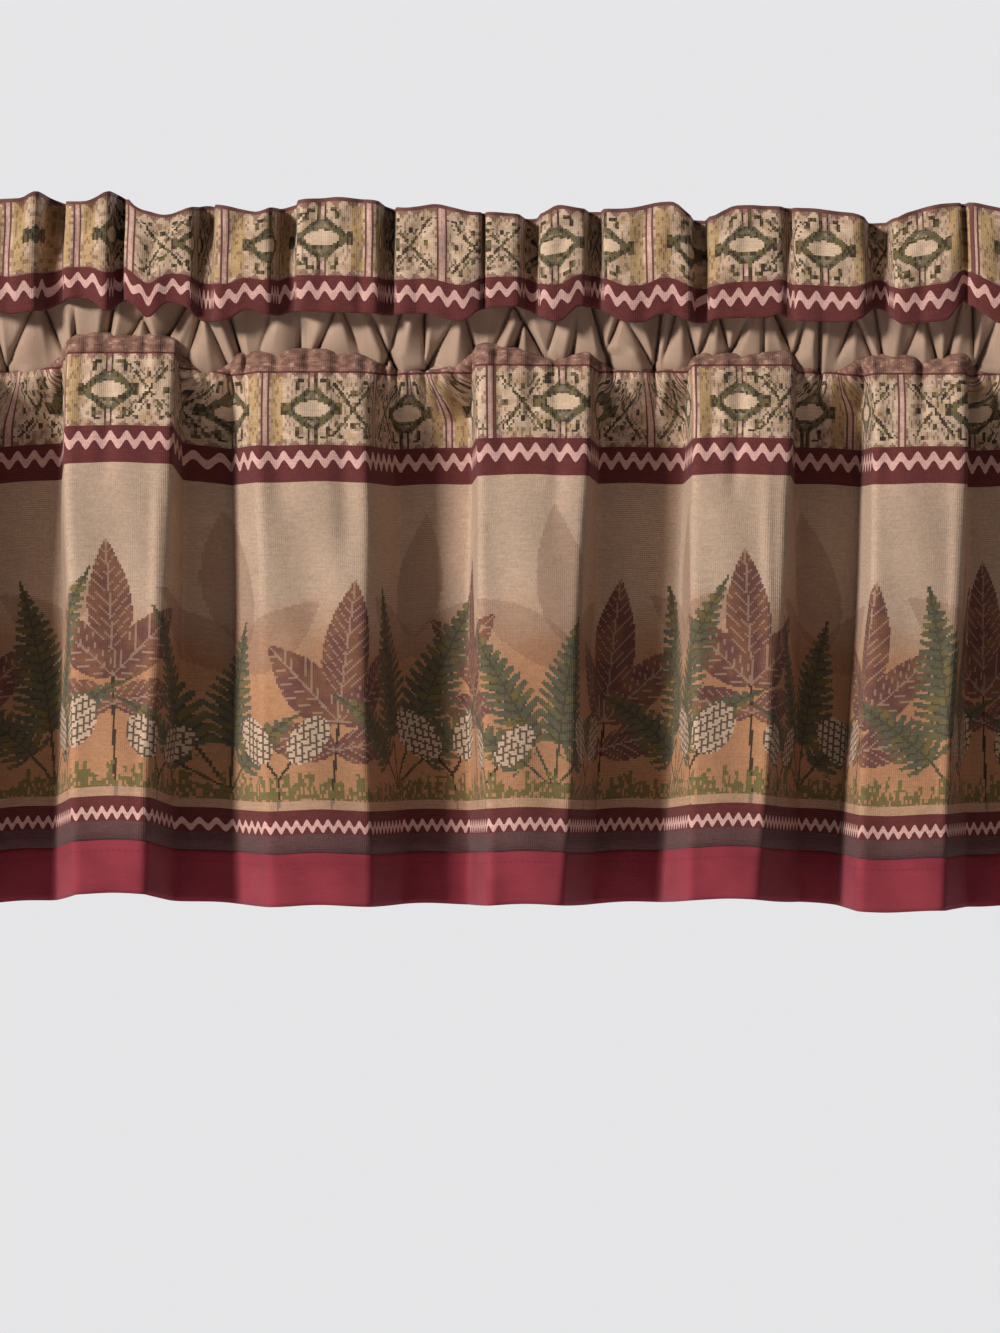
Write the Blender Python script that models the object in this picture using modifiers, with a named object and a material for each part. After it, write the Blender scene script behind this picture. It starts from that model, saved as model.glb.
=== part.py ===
"""Gathered window valance: a ruffled heading, a rod pocket, a folded main panel and a plain hem band.

The valance hangs as it does on its rod. X runs along the rod, Z is up, and the front faces -Y.
The origin is at the middle of the top edge. All sizes are in metres.
"""

import math
from collections import namedtuple

import bmesh
import bpy
import numpy as np

# Whole valance
HALF_WIDTH = 0.445  # hung width from the rod's middle to each end
CLOTH = 0.002  # thickness of the woven panel, the heading's two pressed layers and the band
SEAM_GAP = 0.0003  # between two pieces that are sewn together

# Rod pocket: a soft tube, flattened a little
POCKET_TOP = -0.058
POCKET_BOTTOM = -0.1075
POCKET_HALF_DEPTH = 0.013
POCKET_WALL = 0.0016
POCKET_FULLNESS = 0.7  # 1 gives an ellipse in section, less gives a squarer tube
POCKET_COLUMNS = 96
POCKET_SIDES = 12
PUCKER_DEPTH = 0.0024
PUCKER_PITCHES = (0.037, 0.0245)
PANEL_LAP = 0.0021  # from the middle of the pocket's wall, where it puffs out most, to the panel's middle
HEAD_LAP = 0.0012  # the same for the heading, which is sewn on between the fullest puffs

# Main panel and hem band: v is the length of cloth below the seam on the rod pocket
SEAM_Z = -0.0915
LOWEST_HOLD = -0.1025  # the seam grips the pocket's front no lower than this, and hangs free of it below
PANEL_LENGTH = 0.2909
BAND_LENGTH = 0.0303
PLUMB = 0.987  # drop for each length of cloth, as the folds lean forward a little
FOLDS_FORMED = 0.060  # v at which the folds have the widths in the table's first half
GATHER_DROP = 0.034  # length of cloth over which the gathers open into folds
VALLEY_Y = 0.013
VALLEY_TUCK = 0.012  # cloth drawn up into the seam between two folds
RISE_TUCK = 0.4  # share of a fold's rise that its seam doesn't follow
VALLEY_RISE = 0.35  # share of a fold's rise that the cloth beside it follows
CORNER = 0.007  # how far a fold's rounded corner reaches along each of its sides
MOST_OF_A_SIDE = 0.4  # and the most it takes up of a short one
PANEL_ROWS = (0.0, 0.03, 0.075, 0.13, 0.20, 0.32, 0.48, 0.66, 0.83, 1.0)
BAND_ROWS = (0.0, 0.5, 1.0)
FRONT = 3  # place in a fold's corner of how far it stands forward

# Heading: w runs from 0 at its foot to 1 at its crest
HEAD_FOOT_DEPTH = 0.011
HEAD_CREST_DEPTH = 0.026
HEAD_CREST_BACK = 0.0125
HEAD_ROWS = (0.0, 0.25, 0.6, 1.0)
HEAD_UPRIGHT = 0.25  # share of its height that stands upright against the pocket, before it leans back
HEAD_CORNER = 0.003
VALLEY_SHARES = (0.28, 0.88)  # where the floor of a valley of the heading begins and ends

# A fold of the panel: where its face begins and ends, how wide its flanks look from the front, its depth
# and how far it is drawn up. The first half is where the folds are formed, the second at the hem.
Fold = namedtuple(
    "Fold",
    "name left right left_flank right_flank depth rise "
    "hem_left hem_right hem_left_flank hem_right_flank hem_depth hem_rise",
)
FOLDS = (
    Fold("end_left", -0.445, -0.418, 0.000, 0.006, 0.043, 0.002, -0.445, -0.420, 0.000, 0.012, 0.049, 0.002),
    Fold("outer_left", -0.355, -0.293, 0.008, 0.003, 0.046, 0.004, -0.346, -0.304, 0.018, 0.011, 0.054, 0.003),
    Fold("first", -0.245, -0.185, 0.005, 0.003, 0.045, 0.012, -0.239, -0.200, 0.016, 0.012, 0.051, 0.009),
    Fold("second", -0.138, -0.076, 0.016, 0.015, 0.043, 0.001, -0.130, -0.074, 0.022, 0.018, 0.049, 0.002),
    Fold("third", -0.013, 0.050, 0.003, 0.006, 0.047, 0.005, -0.006, 0.035, 0.012, 0.019, 0.058, 0.003),
    Fold("fourth", 0.110, 0.165, 0.003, 0.004, 0.047, 0.005, 0.107, 0.145, 0.015, 0.028, 0.058, 0.006),
    Fold("fifth", 0.212, 0.264, 0.004, 0.003, 0.046, 0.000, 0.202, 0.249, 0.008, 0.018, 0.053, -0.001),
    Fold("outer_right", 0.330, 0.386, 0.006, 0.005, 0.045, 0.003, 0.326, 0.372, 0.014, 0.016, 0.053, 0.002),
    Fold("end_right", 0.421, 0.445, 0.006, 0.000, 0.043, 0.002, 0.424, 0.445, 0.012, 0.000, 0.049, 0.001),
)

# A ruffle of the heading: its face, the heights of its crest and foot, and the depth and crest height
# of the dip to its right, the depth as a share of the full one.
Ruffle = namedtuple("Ruffle", "left right crest foot dip dip_crest")
RUFFLES = (
    Ruffle(-0.445, -0.432, -0.008, -0.072, 0.9, -0.006),
    Ruffle(-0.421, -0.392, -0.011, -0.074, 0.6, -0.009),
    Ruffle(-0.380, -0.341, -0.008, -0.071, 1.0, -0.013),
    Ruffle(-0.328, -0.307, -0.012, -0.073, 0.8, -0.010),
    Ruffle(-0.296, -0.264, -0.006, -0.066, 1.0, 0.000),
    Ruffle(-0.246, -0.223, -0.008, -0.063, 1.0, 0.000),
    Ruffle(-0.212, -0.176, -0.012, -0.073, 0.8, -0.009),
    Ruffle(-0.161, -0.131, -0.013, -0.075, 1.0, -0.010),
    Ruffle(-0.114, -0.070, -0.007, -0.071, 0.9, -0.010),
    Ruffle(-0.058, -0.012, -0.012, -0.072, 0.4, -0.014),
    Ruffle(-0.007, 0.010, -0.014, -0.074, 1.0, -0.016),
    Ruffle(0.024, 0.047, -0.011, -0.075, 0.9, -0.012),
    Ruffle(0.060, 0.107, -0.009, -0.069, 1.0, -0.017),
    Ruffle(0.120, 0.159, -0.011, -0.074, 0.3, -0.012),
    Ruffle(0.168, 0.206, -0.012, -0.076, 1.0, -0.019),
    Ruffle(0.224, 0.261, -0.013, -0.074, 0.4, -0.012),
    Ruffle(0.267, 0.306, -0.010, -0.072, 1.0, -0.014),
    Ruffle(0.318, 0.346, -0.011, -0.074, 0.8, -0.010),
    Ruffle(0.358, 0.392, -0.008, -0.071, 0.6, -0.012),
    Ruffle(0.400, 0.421, -0.012, -0.073, 1.0, -0.010),
    Ruffle(0.432, 0.445, -0.010, -0.073, 0.0, -0.010),
)

# Colour, roughness and metallic value of each piece's cloth
FINISHES = {
    "heading": ((0.38, 0.26, 0.17, 1.0), 0.85, 0.0),
    "rod_pocket": ((0.31, 0.22, 0.15, 1.0), 0.55, 0.0),
    "main_panel": ((0.36, 0.23, 0.14, 1.0), 0.85, 0.0),
    "hem_band": ((0.24, 0.03, 0.05, 1.0), 0.80, 0.0),
}


def mix(start, end, share):
    return start + (end - start) * share


def ease(share):
    """0 to 1 with soft ends, flat outside them."""
    share = min(max(share, 0.0), 1.0)
    return share * share * (3.0 - 2.0 * share)


def gathers(x):
    """The rod pocket's small uneven gathers along the rod, from -1, drawn in, to 1, puffed out."""
    long_pitch, short_pitch = PUCKER_PITCHES
    long_wave = math.sin(math.tau * x / long_pitch + 2.5 * math.sin(7.0 * x))
    short_wave = math.sin(math.tau * x / short_pitch + 1.3)
    return 0.6 * long_wave + 0.4 * short_wave


def pocket_section(angle, puff):
    """Y and Z of the pocket's wall at an angle round its tube: 0 is the front, a quarter turn the top."""
    middle = 0.5 * (POCKET_TOP + POCKET_BOTTOM)
    half_height = 0.5 * (POCKET_TOP - POCKET_BOTTOM)
    across = math.cos(angle)
    depth = POCKET_HALF_DEPTH * math.copysign(abs(across) ** POCKET_FULLNESS, across)
    depth += PUCKER_DEPTH * puff * across
    return -depth, middle + half_height * math.sin(angle)


def fullest_front(z):
    """Y of the pocket's front wall at a height, where it puffs out most."""
    middle = 0.5 * (POCKET_TOP + POCKET_BOTTOM)
    half_height = 0.5 * (POCKET_TOP - POCKET_BOTTOM)
    y, _ = pocket_section(math.asin((z - middle) / half_height), 1.0)
    return y


def bevelled(corners, reach):
    """Columns along a polygon of corners, with two for each inner corner, whose point they cut off."""
    columns = [corners[0]]
    for before, corner, after in zip(corners, corners[1:], corners[2:]):
        for neighbour in (before, after):
            length = np.linalg.norm((neighbour - corner)[:2])
            columns.append(mix(corner, neighbour, min(reach / length, MOST_OF_A_SIDE)))
    columns.append(corners[-1])
    return columns


def rounded(corners, reach):
    """Columns along the folds' corners: three round each inner corner, and one is halfway over each flat."""
    cut = bevelled(corners, reach)
    controls = [corners[0]]
    for here, following, leaving, arriving in zip(corners, corners[1:], cut[::2], cut[1::2]):
        if here is not corners[0]:
            controls += [here, leaving]
        if here[FRONT] == following[FRONT]:
            controls.append(mix(here, following, 0.5))
        if following is not corners[-1]:
            controls.append(arriving)
    controls.append(corners[-1])
    columns = [controls[0]]
    for before, control, after in zip(controls, controls[1:], controls[2:]):
        columns.append((before + 6.0 * control + after) / 8.0)
    columns.append(controls[-1])
    return columns


def fold_corners(level):
    """The folds' corners in plan at a level from 0, where they are formed, to 1 at the hem.

    Each corner holds x, y, rise and how far it stands forward, from 0 in a valley to 1 on a face.
    """
    corners = []
    for fold in FOLDS:
        left = mix(fold.left, fold.hem_left, level)
        right = mix(fold.right, fold.hem_right, level)
        left_flank = mix(fold.left_flank, fold.hem_left_flank, level)
        right_flank = mix(fold.right_flank, fold.hem_right_flank, level)
        rise = mix(fold.rise, fold.hem_rise, level)
        face_y = VALLEY_Y - mix(fold.depth, fold.hem_depth, level)
        if fold is not FOLDS[0]:
            corners.append(np.array((left - left_flank, VALLEY_Y, VALLEY_RISE * rise, 0.0)))
        corners.append(np.array((left, face_y, rise, 1.0)))
        corners.append(np.array((right, face_y, rise, 1.0)))
        if fold is not FOLDS[-1]:
            corners.append(np.array((right + right_flank, VALLEY_Y, VALLEY_RISE * rise, 0.0)))
    return corners


def hanging_cloth(start, end, shares):
    """Rows of points of the cloth below the pocket, from one length v of cloth to another.

    A start of None is the seam on the rod pocket, where v is what the seam has drawn up.
    """
    whole = PANEL_LENGTH + BAND_LENGTH
    rows = []
    for share in shares:
        v_face = mix(start or 0.0, end, share)
        level = min(max((v_face - FOLDS_FORMED) / (whole - FOLDS_FORMED), 0.0), 1.0)
        row = []
        for x, y, rise, front in rounded(fold_corners(level), CORNER):
            tuck = VALLEY_TUCK * (1.0 - front) + RISE_TUCK * max(rise, 0.0)
            v = mix(tuck if start is None else start, end, share)
            seam_z = SEAM_Z + rise - tuck * PLUMB
            seam_y = fullest_front(max(seam_z, LOWEST_HOLD)) - PANEL_LAP
            y = mix(seam_y, y, ease((v - tuck) / GATHER_DROP))
            row.append((x, y, SEAM_Z + rise - v * PLUMB))
        rows.append(row)
    return rows


def ruffle_corners():
    """The heading's corners: x, how far forward, crest height and foot height of each."""
    corners = []
    for ruffle, following in zip(RUFFLES, RUFFLES[1:] + (None,)):
        corners.append(np.array((ruffle.left, 1.0, ruffle.crest, ruffle.foot)))
        corners.append(np.array((ruffle.right, 1.0, ruffle.crest, ruffle.foot)))
        if following:
            foot = 0.5 * (ruffle.foot + following.foot)
            for share in VALLEY_SHARES:
                x = mix(ruffle.right, following.left, share)
                corners.append(np.array((x, 1.0 - ruffle.dip, ruffle.dip_crest, foot)))
    return corners


def standing_cloth():
    """Rows of points of the heading, from its foot on the rod pocket to its crest."""
    columns = bevelled(ruffle_corners(), HEAD_CORNER)
    rows = []
    for share in HEAD_ROWS:
        lean = ease((share - HEAD_UPRIGHT) / (1.0 - HEAD_UPRIGHT))
        row = []
        for x, front, crest, foot in columns:
            foot_y = fullest_front(foot) - HEAD_LAP - front * HEAD_FOOT_DEPTH
            crest_y = HEAD_CREST_BACK - front * HEAD_CREST_DEPTH
            row.append((x, mix(foot_y, crest_y, lean), mix(foot, crest, share)))
        rows.append(row)
    return rows


def grid_mesh(points):
    """A bmesh grid with its vertices moved to rows of points."""
    columns = len(points[0])
    mesh = bmesh.new()
    bmesh.ops.create_grid(mesh, x_segments=columns - 1, y_segments=len(points) - 1, size=1.0)
    for vert in mesh.verts:
        column = round((vert.co.x + 1.0) / 2.0 * (columns - 1))
        row = round((vert.co.y + 1.0) / 2.0 * (len(points) - 1))
        vert.co = points[row][column]
    return mesh


def add_piece(collection, name, mesh, thickness):
    """An object of one piece of cloth: the surface in the bmesh, thickened to both sides."""
    data = bpy.data.meshes.new(name)
    mesh.to_mesh(data)
    mesh.free()
    data.materials.append(cloth_material(name))
    piece = bpy.data.objects.new(name, data)
    collection.objects.link(piece)
    solidify = piece.modifiers.new("thickness", "SOLIDIFY")
    solidify.thickness = thickness
    solidify.offset = 0.0
    return piece


def cloth_material(name):
    colour, roughness, metallic = FINISHES[name]
    material = bpy.data.materials.new(name + "_cloth")
    material.use_nodes = True
    shader = material.node_tree.nodes["Principled BSDF"]
    shader.inputs["Base Color"].default_value = colour
    shader.inputs["Roughness"].default_value = roughness
    shader.inputs["Metallic"].default_value = metallic
    return material


def add_heading(collection):
    add_piece(collection, "heading", grid_mesh(standing_cloth()), CLOTH)


def add_rod_pocket(collection):
    """A tube along X, open at both ends: a grid whose first and last rows meet."""
    rows = []
    for side in range(POCKET_SIDES + 1):
        angle = math.tau * (side % POCKET_SIDES) / POCKET_SIDES
        row = []
        for column in range(POCKET_COLUMNS + 1):
            x = HALF_WIDTH * (2.0 * column / POCKET_COLUMNS - 1.0)
            row.append((x, *pocket_section(angle, gathers(x))))
        rows.append(row)
    mesh = grid_mesh(rows)
    bmesh.ops.remove_doubles(mesh, verts=mesh.verts, dist=0.00001)
    add_piece(collection, "rod_pocket", mesh, POCKET_WALL)


def add_main_panel(collection):
    add_piece(collection, "main_panel", grid_mesh(hanging_cloth(None, PANEL_LENGTH, PANEL_ROWS)), CLOTH)


def add_hem_band(collection):
    top = PANEL_LENGTH + SEAM_GAP / PLUMB
    bottom = PANEL_LENGTH + BAND_LENGTH
    add_piece(collection, "hem_band", grid_mesh(hanging_cloth(top, bottom, BAND_ROWS)), CLOTH)


def main():
    for old in list(bpy.data.objects):
        bpy.data.objects.remove(old)
    collection = bpy.data.collections.new("window_valance")
    bpy.context.scene.collection.children.link(collection)
    add_heading(collection)
    add_rod_pocket(collection)
    add_main_panel(collection)
    add_hem_band(collection)


main()
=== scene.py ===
"""Window valance: its woven cloth, folds, gathers and seams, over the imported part.

The valance hangs from a rod along X, its front faces -Y and Z is up. All sizes are in metres.
Each piece of cloth has its own measure: u runs across it and v down it, both along the cloth.
"""

import math
from collections import namedtuple

import bmesh
import bpy
import numpy as np
from bpy.props import FloatProperty, FloatVectorProperty, PointerProperty
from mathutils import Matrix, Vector


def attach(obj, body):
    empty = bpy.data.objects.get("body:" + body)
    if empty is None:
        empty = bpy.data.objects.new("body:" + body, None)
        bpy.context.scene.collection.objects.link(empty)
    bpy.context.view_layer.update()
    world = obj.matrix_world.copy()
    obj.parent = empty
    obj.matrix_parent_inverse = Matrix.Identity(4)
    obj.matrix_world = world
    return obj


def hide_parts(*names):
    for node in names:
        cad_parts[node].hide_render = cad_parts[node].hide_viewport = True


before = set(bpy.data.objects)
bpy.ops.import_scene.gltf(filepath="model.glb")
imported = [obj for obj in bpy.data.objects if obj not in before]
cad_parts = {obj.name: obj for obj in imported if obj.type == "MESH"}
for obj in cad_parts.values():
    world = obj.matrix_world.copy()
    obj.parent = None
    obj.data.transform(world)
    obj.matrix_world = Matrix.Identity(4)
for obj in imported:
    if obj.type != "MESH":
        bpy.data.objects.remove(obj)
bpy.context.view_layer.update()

bl_info = {
    "name": "Window valance",
    "version": (1, 0, 0),
    "blender": (4, 5, 0),
    "location": "3D View > Sidebar > Valance",
    "description": "Adds a window valance: gathered heading, rod pocket, woven panel and hem band",
    "category": "Add Mesh",
}

# The valance's own sizes, as its solids have them
HALF_WIDTH = 0.445
POCKET_TOP = -0.058
POCKET_BOTTOM = -0.1075
POCKET_HALF_DEPTH = 0.013
POCKET_FULLNESS = 0.7  # 1 gives an ellipse in section, less gives a squarer tube
PUCKER_DEPTH = 0.0024
PUCKER_PITCHES = (0.037, 0.0245)
PANEL_LAP = 0.0021  # from the middle of the pocket's wall to the panel's middle
HEAD_LAP = 0.0012  # the same for the heading
SEAM_Z = -0.0915
SEAM_HEIGHT = -0.8  # of the seam between two folds, from -1 at the pocket's foot to 1 at its top
LOWEST_HOLD = -0.1025  # the seam grips the pocket's front no lower than this
PANEL_LENGTH = 0.2909
BAND_LENGTH = 0.0303
SEAM_LAP = 0.0010  # of the hem band behind the panel's lower edge
SEAM_STEP = 0.0008  # how far behind the panel's edge that lap lies
PLUMB = 0.987  # drop for each length of cloth, as the folds lean forward a little
SEAM_ROLL = 0.0050  # how far the panel's upper edge rolls in to the pocket
FOLDS_FORMED = 0.060  # v at which the folds have the widths in their table's first half
GATHER_DROP = 0.034  # length of cloth over which the gathers open into folds
VALLEY_Y = 0.013
VALLEY_RISE = 0.35  # share of a fold's rise that the cloth beside it follows
CORNER = 0.007  # how far a fold's rounded corner reaches along each of its sides
MOST_OF_A_SIDE = 0.4  # and the most it takes up of a short one
FRONT = 3  # place in a fold's corner of how far it stands forward
HEAD_FOOT_DEPTH = 0.011
HEAD_CREST_DEPTH = 0.026
HEAD_CREST_BACK = 0.0125
HEAD_UPRIGHT = 0.25  # share of its height that stands upright, before it leans back
HEAD_CORNER = 0.006
HEAD_LENGTH = 0.065
VALLEY_SHARES = (0.28, 0.88)  # where the floor of a valley of the heading begins and ends

# Lengths of cloth below the seam, or of x, in which small shapes come and go
PUCKER_WAVES = (0.0131, 0.0083)  # pitches of the fine puckers under the seam
PUCKER_SHARE = 0.28  # their depth as a share of the pocket's creases
PUCKER_START = 0.004
PUCKER_END = 0.014
GATHER_WIDTH = 0.0024
GATHER_END = 0.022
FACE_HOLD = 0.75  # how much of its gathers' depth a fold's face loses
SEAM_ROLL_END = 0.0022
SEAM_STEP_END = 0.003
LOOSE_END = 0.12  # where the cloth hangs free enough to wave
WEAVE_LEVEL = 0.2  # of the folds along which the weave is laid out, from 0 where they form to 1

# A slow wave of the loose cloth: how far it moves the cloth, and its pitches along x and v
Wave = namedtuple("Wave", "height pitch_x pitch_v")
FACE_WAVES = (Wave(0.0011, 0.093, 0.31), Wave(0.0007, 0.037, -0.17))
SIDE_WAVE = Wave(0.0010, 0.4, 0.21)
HEM_WAVE = Wave(0.0006, 0.058, math.inf)
HEADING_WAVE = Wave(0.0009, 0.021, 0.05)
HEADING_BELLY = 0.0022  # how far a ruffle's face bows out halfway up
HEADING_CREASE_SHARE = 0.6  # of their length in the table, so that they don't fade at the foot

# The cloth before it was gathered
FLAT_WIDTH = 1.49
POCKET_FLAT_LENGTH = 0.125

# Steps of each piece's grid, across and down
PANEL_GRID = (780, 60)
BAND_GRID = (780, 10)
ROWS_SPREAD = 1.35  # above 1, the panel's rows are closer at its seam
HEADING_GRID = (640, 34)
POCKET_GRID = (1180, 36)
FRONT_SHARE = 0.6  # above 0, the pocket's steps are closer at its front

# Where the panel's stripes begin, in millimetres of v
STRIPE = {
    "ornament": 15.4,
    "upper_line": 56.5,
    "upper_teeth": 58.8,
    "upper_border": 70.8,
    "foliage": 77.7,
    "lower_line": 266.3,
    "lower_teeth": 271.4,
    "grey_border": 280.3,
}
# The same for the heading, from its crest
HEAD_STRIPE = {"ornament": 2.4, "line": 44.6, "teeth": 47.0, "border": 59.0}
ORNAMENT_REPEAT = 136.0
FOLIAGE_REPEAT = 275.0
HEM_HEIGHT = 24.0  # of the hem's line of stitches above the lower edge
STITCH_PITCH = 3.4

# A fold of the panel: where its face begins and ends, how wide its flanks look from the front, its
# depth and how far it is drawn up, first where the folds are formed and then at the hem
Fold = namedtuple(
    "Fold",
    "name left right left_flank right_flank depth rise "
    "hem_left hem_right hem_left_flank hem_right_flank hem_depth hem_rise",
)
FOLDS = (
    Fold("end_left", -0.445, -0.418, 0.000, 0.006, 0.043, 0.002,
         -0.445, -0.420, 0.000, 0.012, 0.049, 0.002),
    Fold("outer_left", -0.355, -0.293, 0.008, 0.003, 0.046, 0.004,
         -0.346, -0.304, 0.018, 0.011, 0.054, 0.003),
    Fold("first", -0.245, -0.185, 0.005, 0.003, 0.045, 0.012,
         -0.239, -0.200, 0.016, 0.012, 0.051, 0.009),
    Fold("second", -0.138, -0.076, 0.016, 0.015, 0.043, 0.001,
         -0.130, -0.074, 0.022, 0.018, 0.049, 0.002),
    Fold("third", -0.013, 0.050, 0.003, 0.006, 0.047, 0.005,
         -0.006, 0.035, 0.012, 0.019, 0.058, 0.003),
    Fold("fourth", 0.110, 0.165, 0.003, 0.004, 0.047, 0.005,
         0.107, 0.145, 0.015, 0.028, 0.058, 0.006),
    Fold("fifth", 0.212, 0.264, 0.004, 0.003, 0.046, 0.000,
         0.202, 0.249, 0.008, 0.018, 0.053, -0.001),
    Fold("outer_right", 0.330, 0.386, 0.006, 0.005, 0.045, 0.003,
         0.326, 0.372, 0.014, 0.016, 0.053, 0.002),
    Fold("end_right", 0.421, 0.445, 0.006, 0.000, 0.043, 0.002,
         0.424, 0.445, 0.012, 0.000, 0.049, 0.001),
)

# A ruffle of the heading: where its face begins and ends, how deep the valley to its right is, as a
# share, and the place in the weave's repeat, in millimetres, that its face shows at its middle
Ruffle = namedtuple("Ruffle", "left right dip phase")
RUFFLES = (
    Ruffle(-0.445, -0.432, 0.9, None),
    Ruffle(-0.421, -0.392, 0.6, None),
    Ruffle(-0.380, -0.341, 1.0, None),
    Ruffle(-0.328, -0.307, 0.8, None),
    Ruffle(-0.296, -0.264, 1.0, 68.0),
    Ruffle(-0.246, -0.223, 1.0, 74.0),
    Ruffle(-0.212, -0.176, 0.8, 15.5),
    Ruffle(-0.161, -0.131, 1.0, 78.0),
    Ruffle(-0.114, -0.070, 0.9, 50.0),
    Ruffle(-0.058, -0.012, 0.4, 134.0),
    Ruffle(-0.007, 0.010, 1.0, None),
    Ruffle(0.024, 0.047, 0.9, 45.0),
    Ruffle(0.060, 0.107, 1.0, 66.5),
    Ruffle(0.120, 0.159, 0.3, 94.5),
    Ruffle(0.168, 0.206, 1.0, 44.0),
    Ruffle(0.224, 0.261, 0.4, 44.5),
    Ruffle(0.267, 0.306, 1.0, 84.5),
    Ruffle(0.318, 0.346, 0.8, None),
    Ruffle(0.358, 0.392, 0.6, None),
    Ruffle(0.400, 0.421, 1.0, None),
    Ruffle(0.432, 0.445, 0.0, None),
)

# The heading's upper and lower edges: x, then the height there
CREST = (
    (-0.445, -0.008), (-0.432, -0.006), (-0.408, -0.011), (-0.386, -0.009), (-0.360, -0.007),
    (-0.334, -0.013), (-0.317, -0.012), (-0.301, -0.010), (-0.286, -0.0057), (-0.271, -0.005),
    (-0.2655, 0.0), (-0.258, -0.003), (-0.246, -0.007), (-0.234, -0.007), (-0.223, 0.0),
    (-0.216, -0.002), (-0.206, -0.011), (-0.191, -0.015), (-0.182, -0.0125), (-0.1685, -0.007),
    (-0.146, -0.0115), (-0.137, -0.0135), (-0.131, -0.010), (-0.111, -0.0055),
    (-0.091, -0.0045), (-0.0725, -0.006), (-0.054, -0.011), (-0.037, -0.008), (-0.016, -0.013),
    (0.0, -0.013), (0.017, -0.015), (0.0255, -0.0135), (0.032, -0.0085), (0.0475, -0.011),
    (0.074, -0.011), (0.0885, -0.0075), (0.1005, -0.007), (0.107, -0.015), (0.1205, -0.016),
    (0.1315, -0.0095), (0.143, -0.009), (0.179, -0.011), (0.2035, -0.014), (0.208, -0.017),
    (0.225, -0.017), (0.2315, -0.013), (0.2515, -0.008), (0.270, -0.0075), (0.286, -0.011),
    (0.312, -0.014), (0.332, -0.011), (0.352, -0.010), (0.375, -0.008), (0.396, -0.012),
    (0.410, -0.012), (0.426, -0.010), (0.445, -0.010),
)
FOOT = (
    (-0.445, -0.072), (-0.421, -0.073), (-0.392, -0.076), (-0.36, -0.07), (-0.328, -0.0745),
    (-0.307, -0.073), (-0.296, -0.066), (-0.279, -0.072), (-0.262, -0.07), (-0.2514, -0.0664),
    (-0.2474, -0.0626), (-0.2322, -0.0626), (-0.2268, -0.0673), (-0.222, -0.0725),
    (-0.2185, -0.065), (-0.2106, -0.0626), (-0.2052, -0.0692), (-0.1988, -0.0762),
    (-0.1931, -0.067), (-0.187, -0.0645), (-0.1772, -0.0673), (-0.1704, -0.0758),
    (-0.1535, -0.0758), (-0.1489, -0.071), (-0.1416, -0.0687), (-0.1348, -0.0715),
    (-0.1246, -0.0725), (-0.12, -0.0695), (-0.1042, -0.0707), (-0.0713, -0.0715),
    (-0.0617, -0.072), (-0.0402, -0.0713), (-0.0334, -0.0739), (-0.026, -0.0758),
    (-0.0187, -0.0758), (-0.0125, -0.069), (0.011, -0.0673), (0.0176, -0.0692),
    (0.0255, -0.0746), (0.034, -0.0772), (0.0396, -0.0712), (0.0425, -0.0673),
    (0.0544, -0.0673), (0.0617, -0.0712), (0.0696, -0.0767), (0.0832, -0.0767),
    (0.0883, -0.072), (0.0957, -0.0713), (0.107, -0.0758), (0.116, -0.0767), (0.1217, -0.0745),
    (0.1529, -0.0739), (0.1591, -0.0705), (0.1642, -0.0758), (0.1925, -0.0767),
    (0.2033, -0.0758), (0.2112, -0.0675), (0.2203, -0.069), (0.2248, -0.078), (0.239, -0.0767),
    (0.2548, -0.0758), (0.2608, -0.0625), (0.2661, -0.066), (0.283, -0.078), (0.3, -0.0735),
    (0.312, -0.069), (0.328, -0.0755), (0.346, -0.074), (0.354, -0.069), (0.374, -0.0745),
    (0.392, -0.075), (0.4, -0.07), (0.418, -0.0765), (0.428, -0.07), (0.445, -0.0745),
)
# How much of the panel's length the seam on the pocket has drawn up: x, then the length there
SEAM_TUCK = (
    (-0.445, 0.003), (-0.420, 0.004), (-0.405, 0.013), (-0.372, 0.014), (-0.352, 0.005),
    (-0.330, 0.002), (-0.300, 0.005), (-0.285, 0.015), (-0.258, 0.014), (-0.244, 0.004),
    (-0.228, 0.0015), (-0.212, 0.0045), (-0.196, 0.0025), (-0.184, 0.006), (-0.169, 0.0154),
    (-0.158, 0.012), (-0.149, 0.0022), (-0.128, 0.0015), (-0.110, 0.0), (-0.084, 0.0022),
    (-0.063, 0.0095), (-0.054, 0.0124), (-0.034, 0.0124), (-0.022, 0.008), (-0.010, 0.0007),
    (0.006, 0.003), (0.028, 0.0104), (0.042, 0.008), (0.051, 0.0058), (0.066, 0.0134),
    (0.087, 0.0134), (0.106, 0.011), (0.117, 0.0064), (0.138, 0.0075), (0.164, 0.0055),
    (0.171, 0.010), (0.190, 0.0134), (0.204, 0.0055), (0.217, 0.0024), (0.232, 0.003),
    (0.243, 0.0067), (0.264, 0.001), (0.274, 0.013), (0.300, 0.016), (0.322, 0.012),
    (0.336, 0.003), (0.360, 0.005), (0.384, 0.003), (0.398, 0.013), (0.412, 0.013),
    (0.424, 0.004), (0.445, 0.003),
)

# The place in the weave's repeat, in millimetres, that each fold's face shows at its middle
PANEL_PHASES = (None, None, 101.0, 94.0, 24.0, 96.5, 10.5, None, None)

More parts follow.
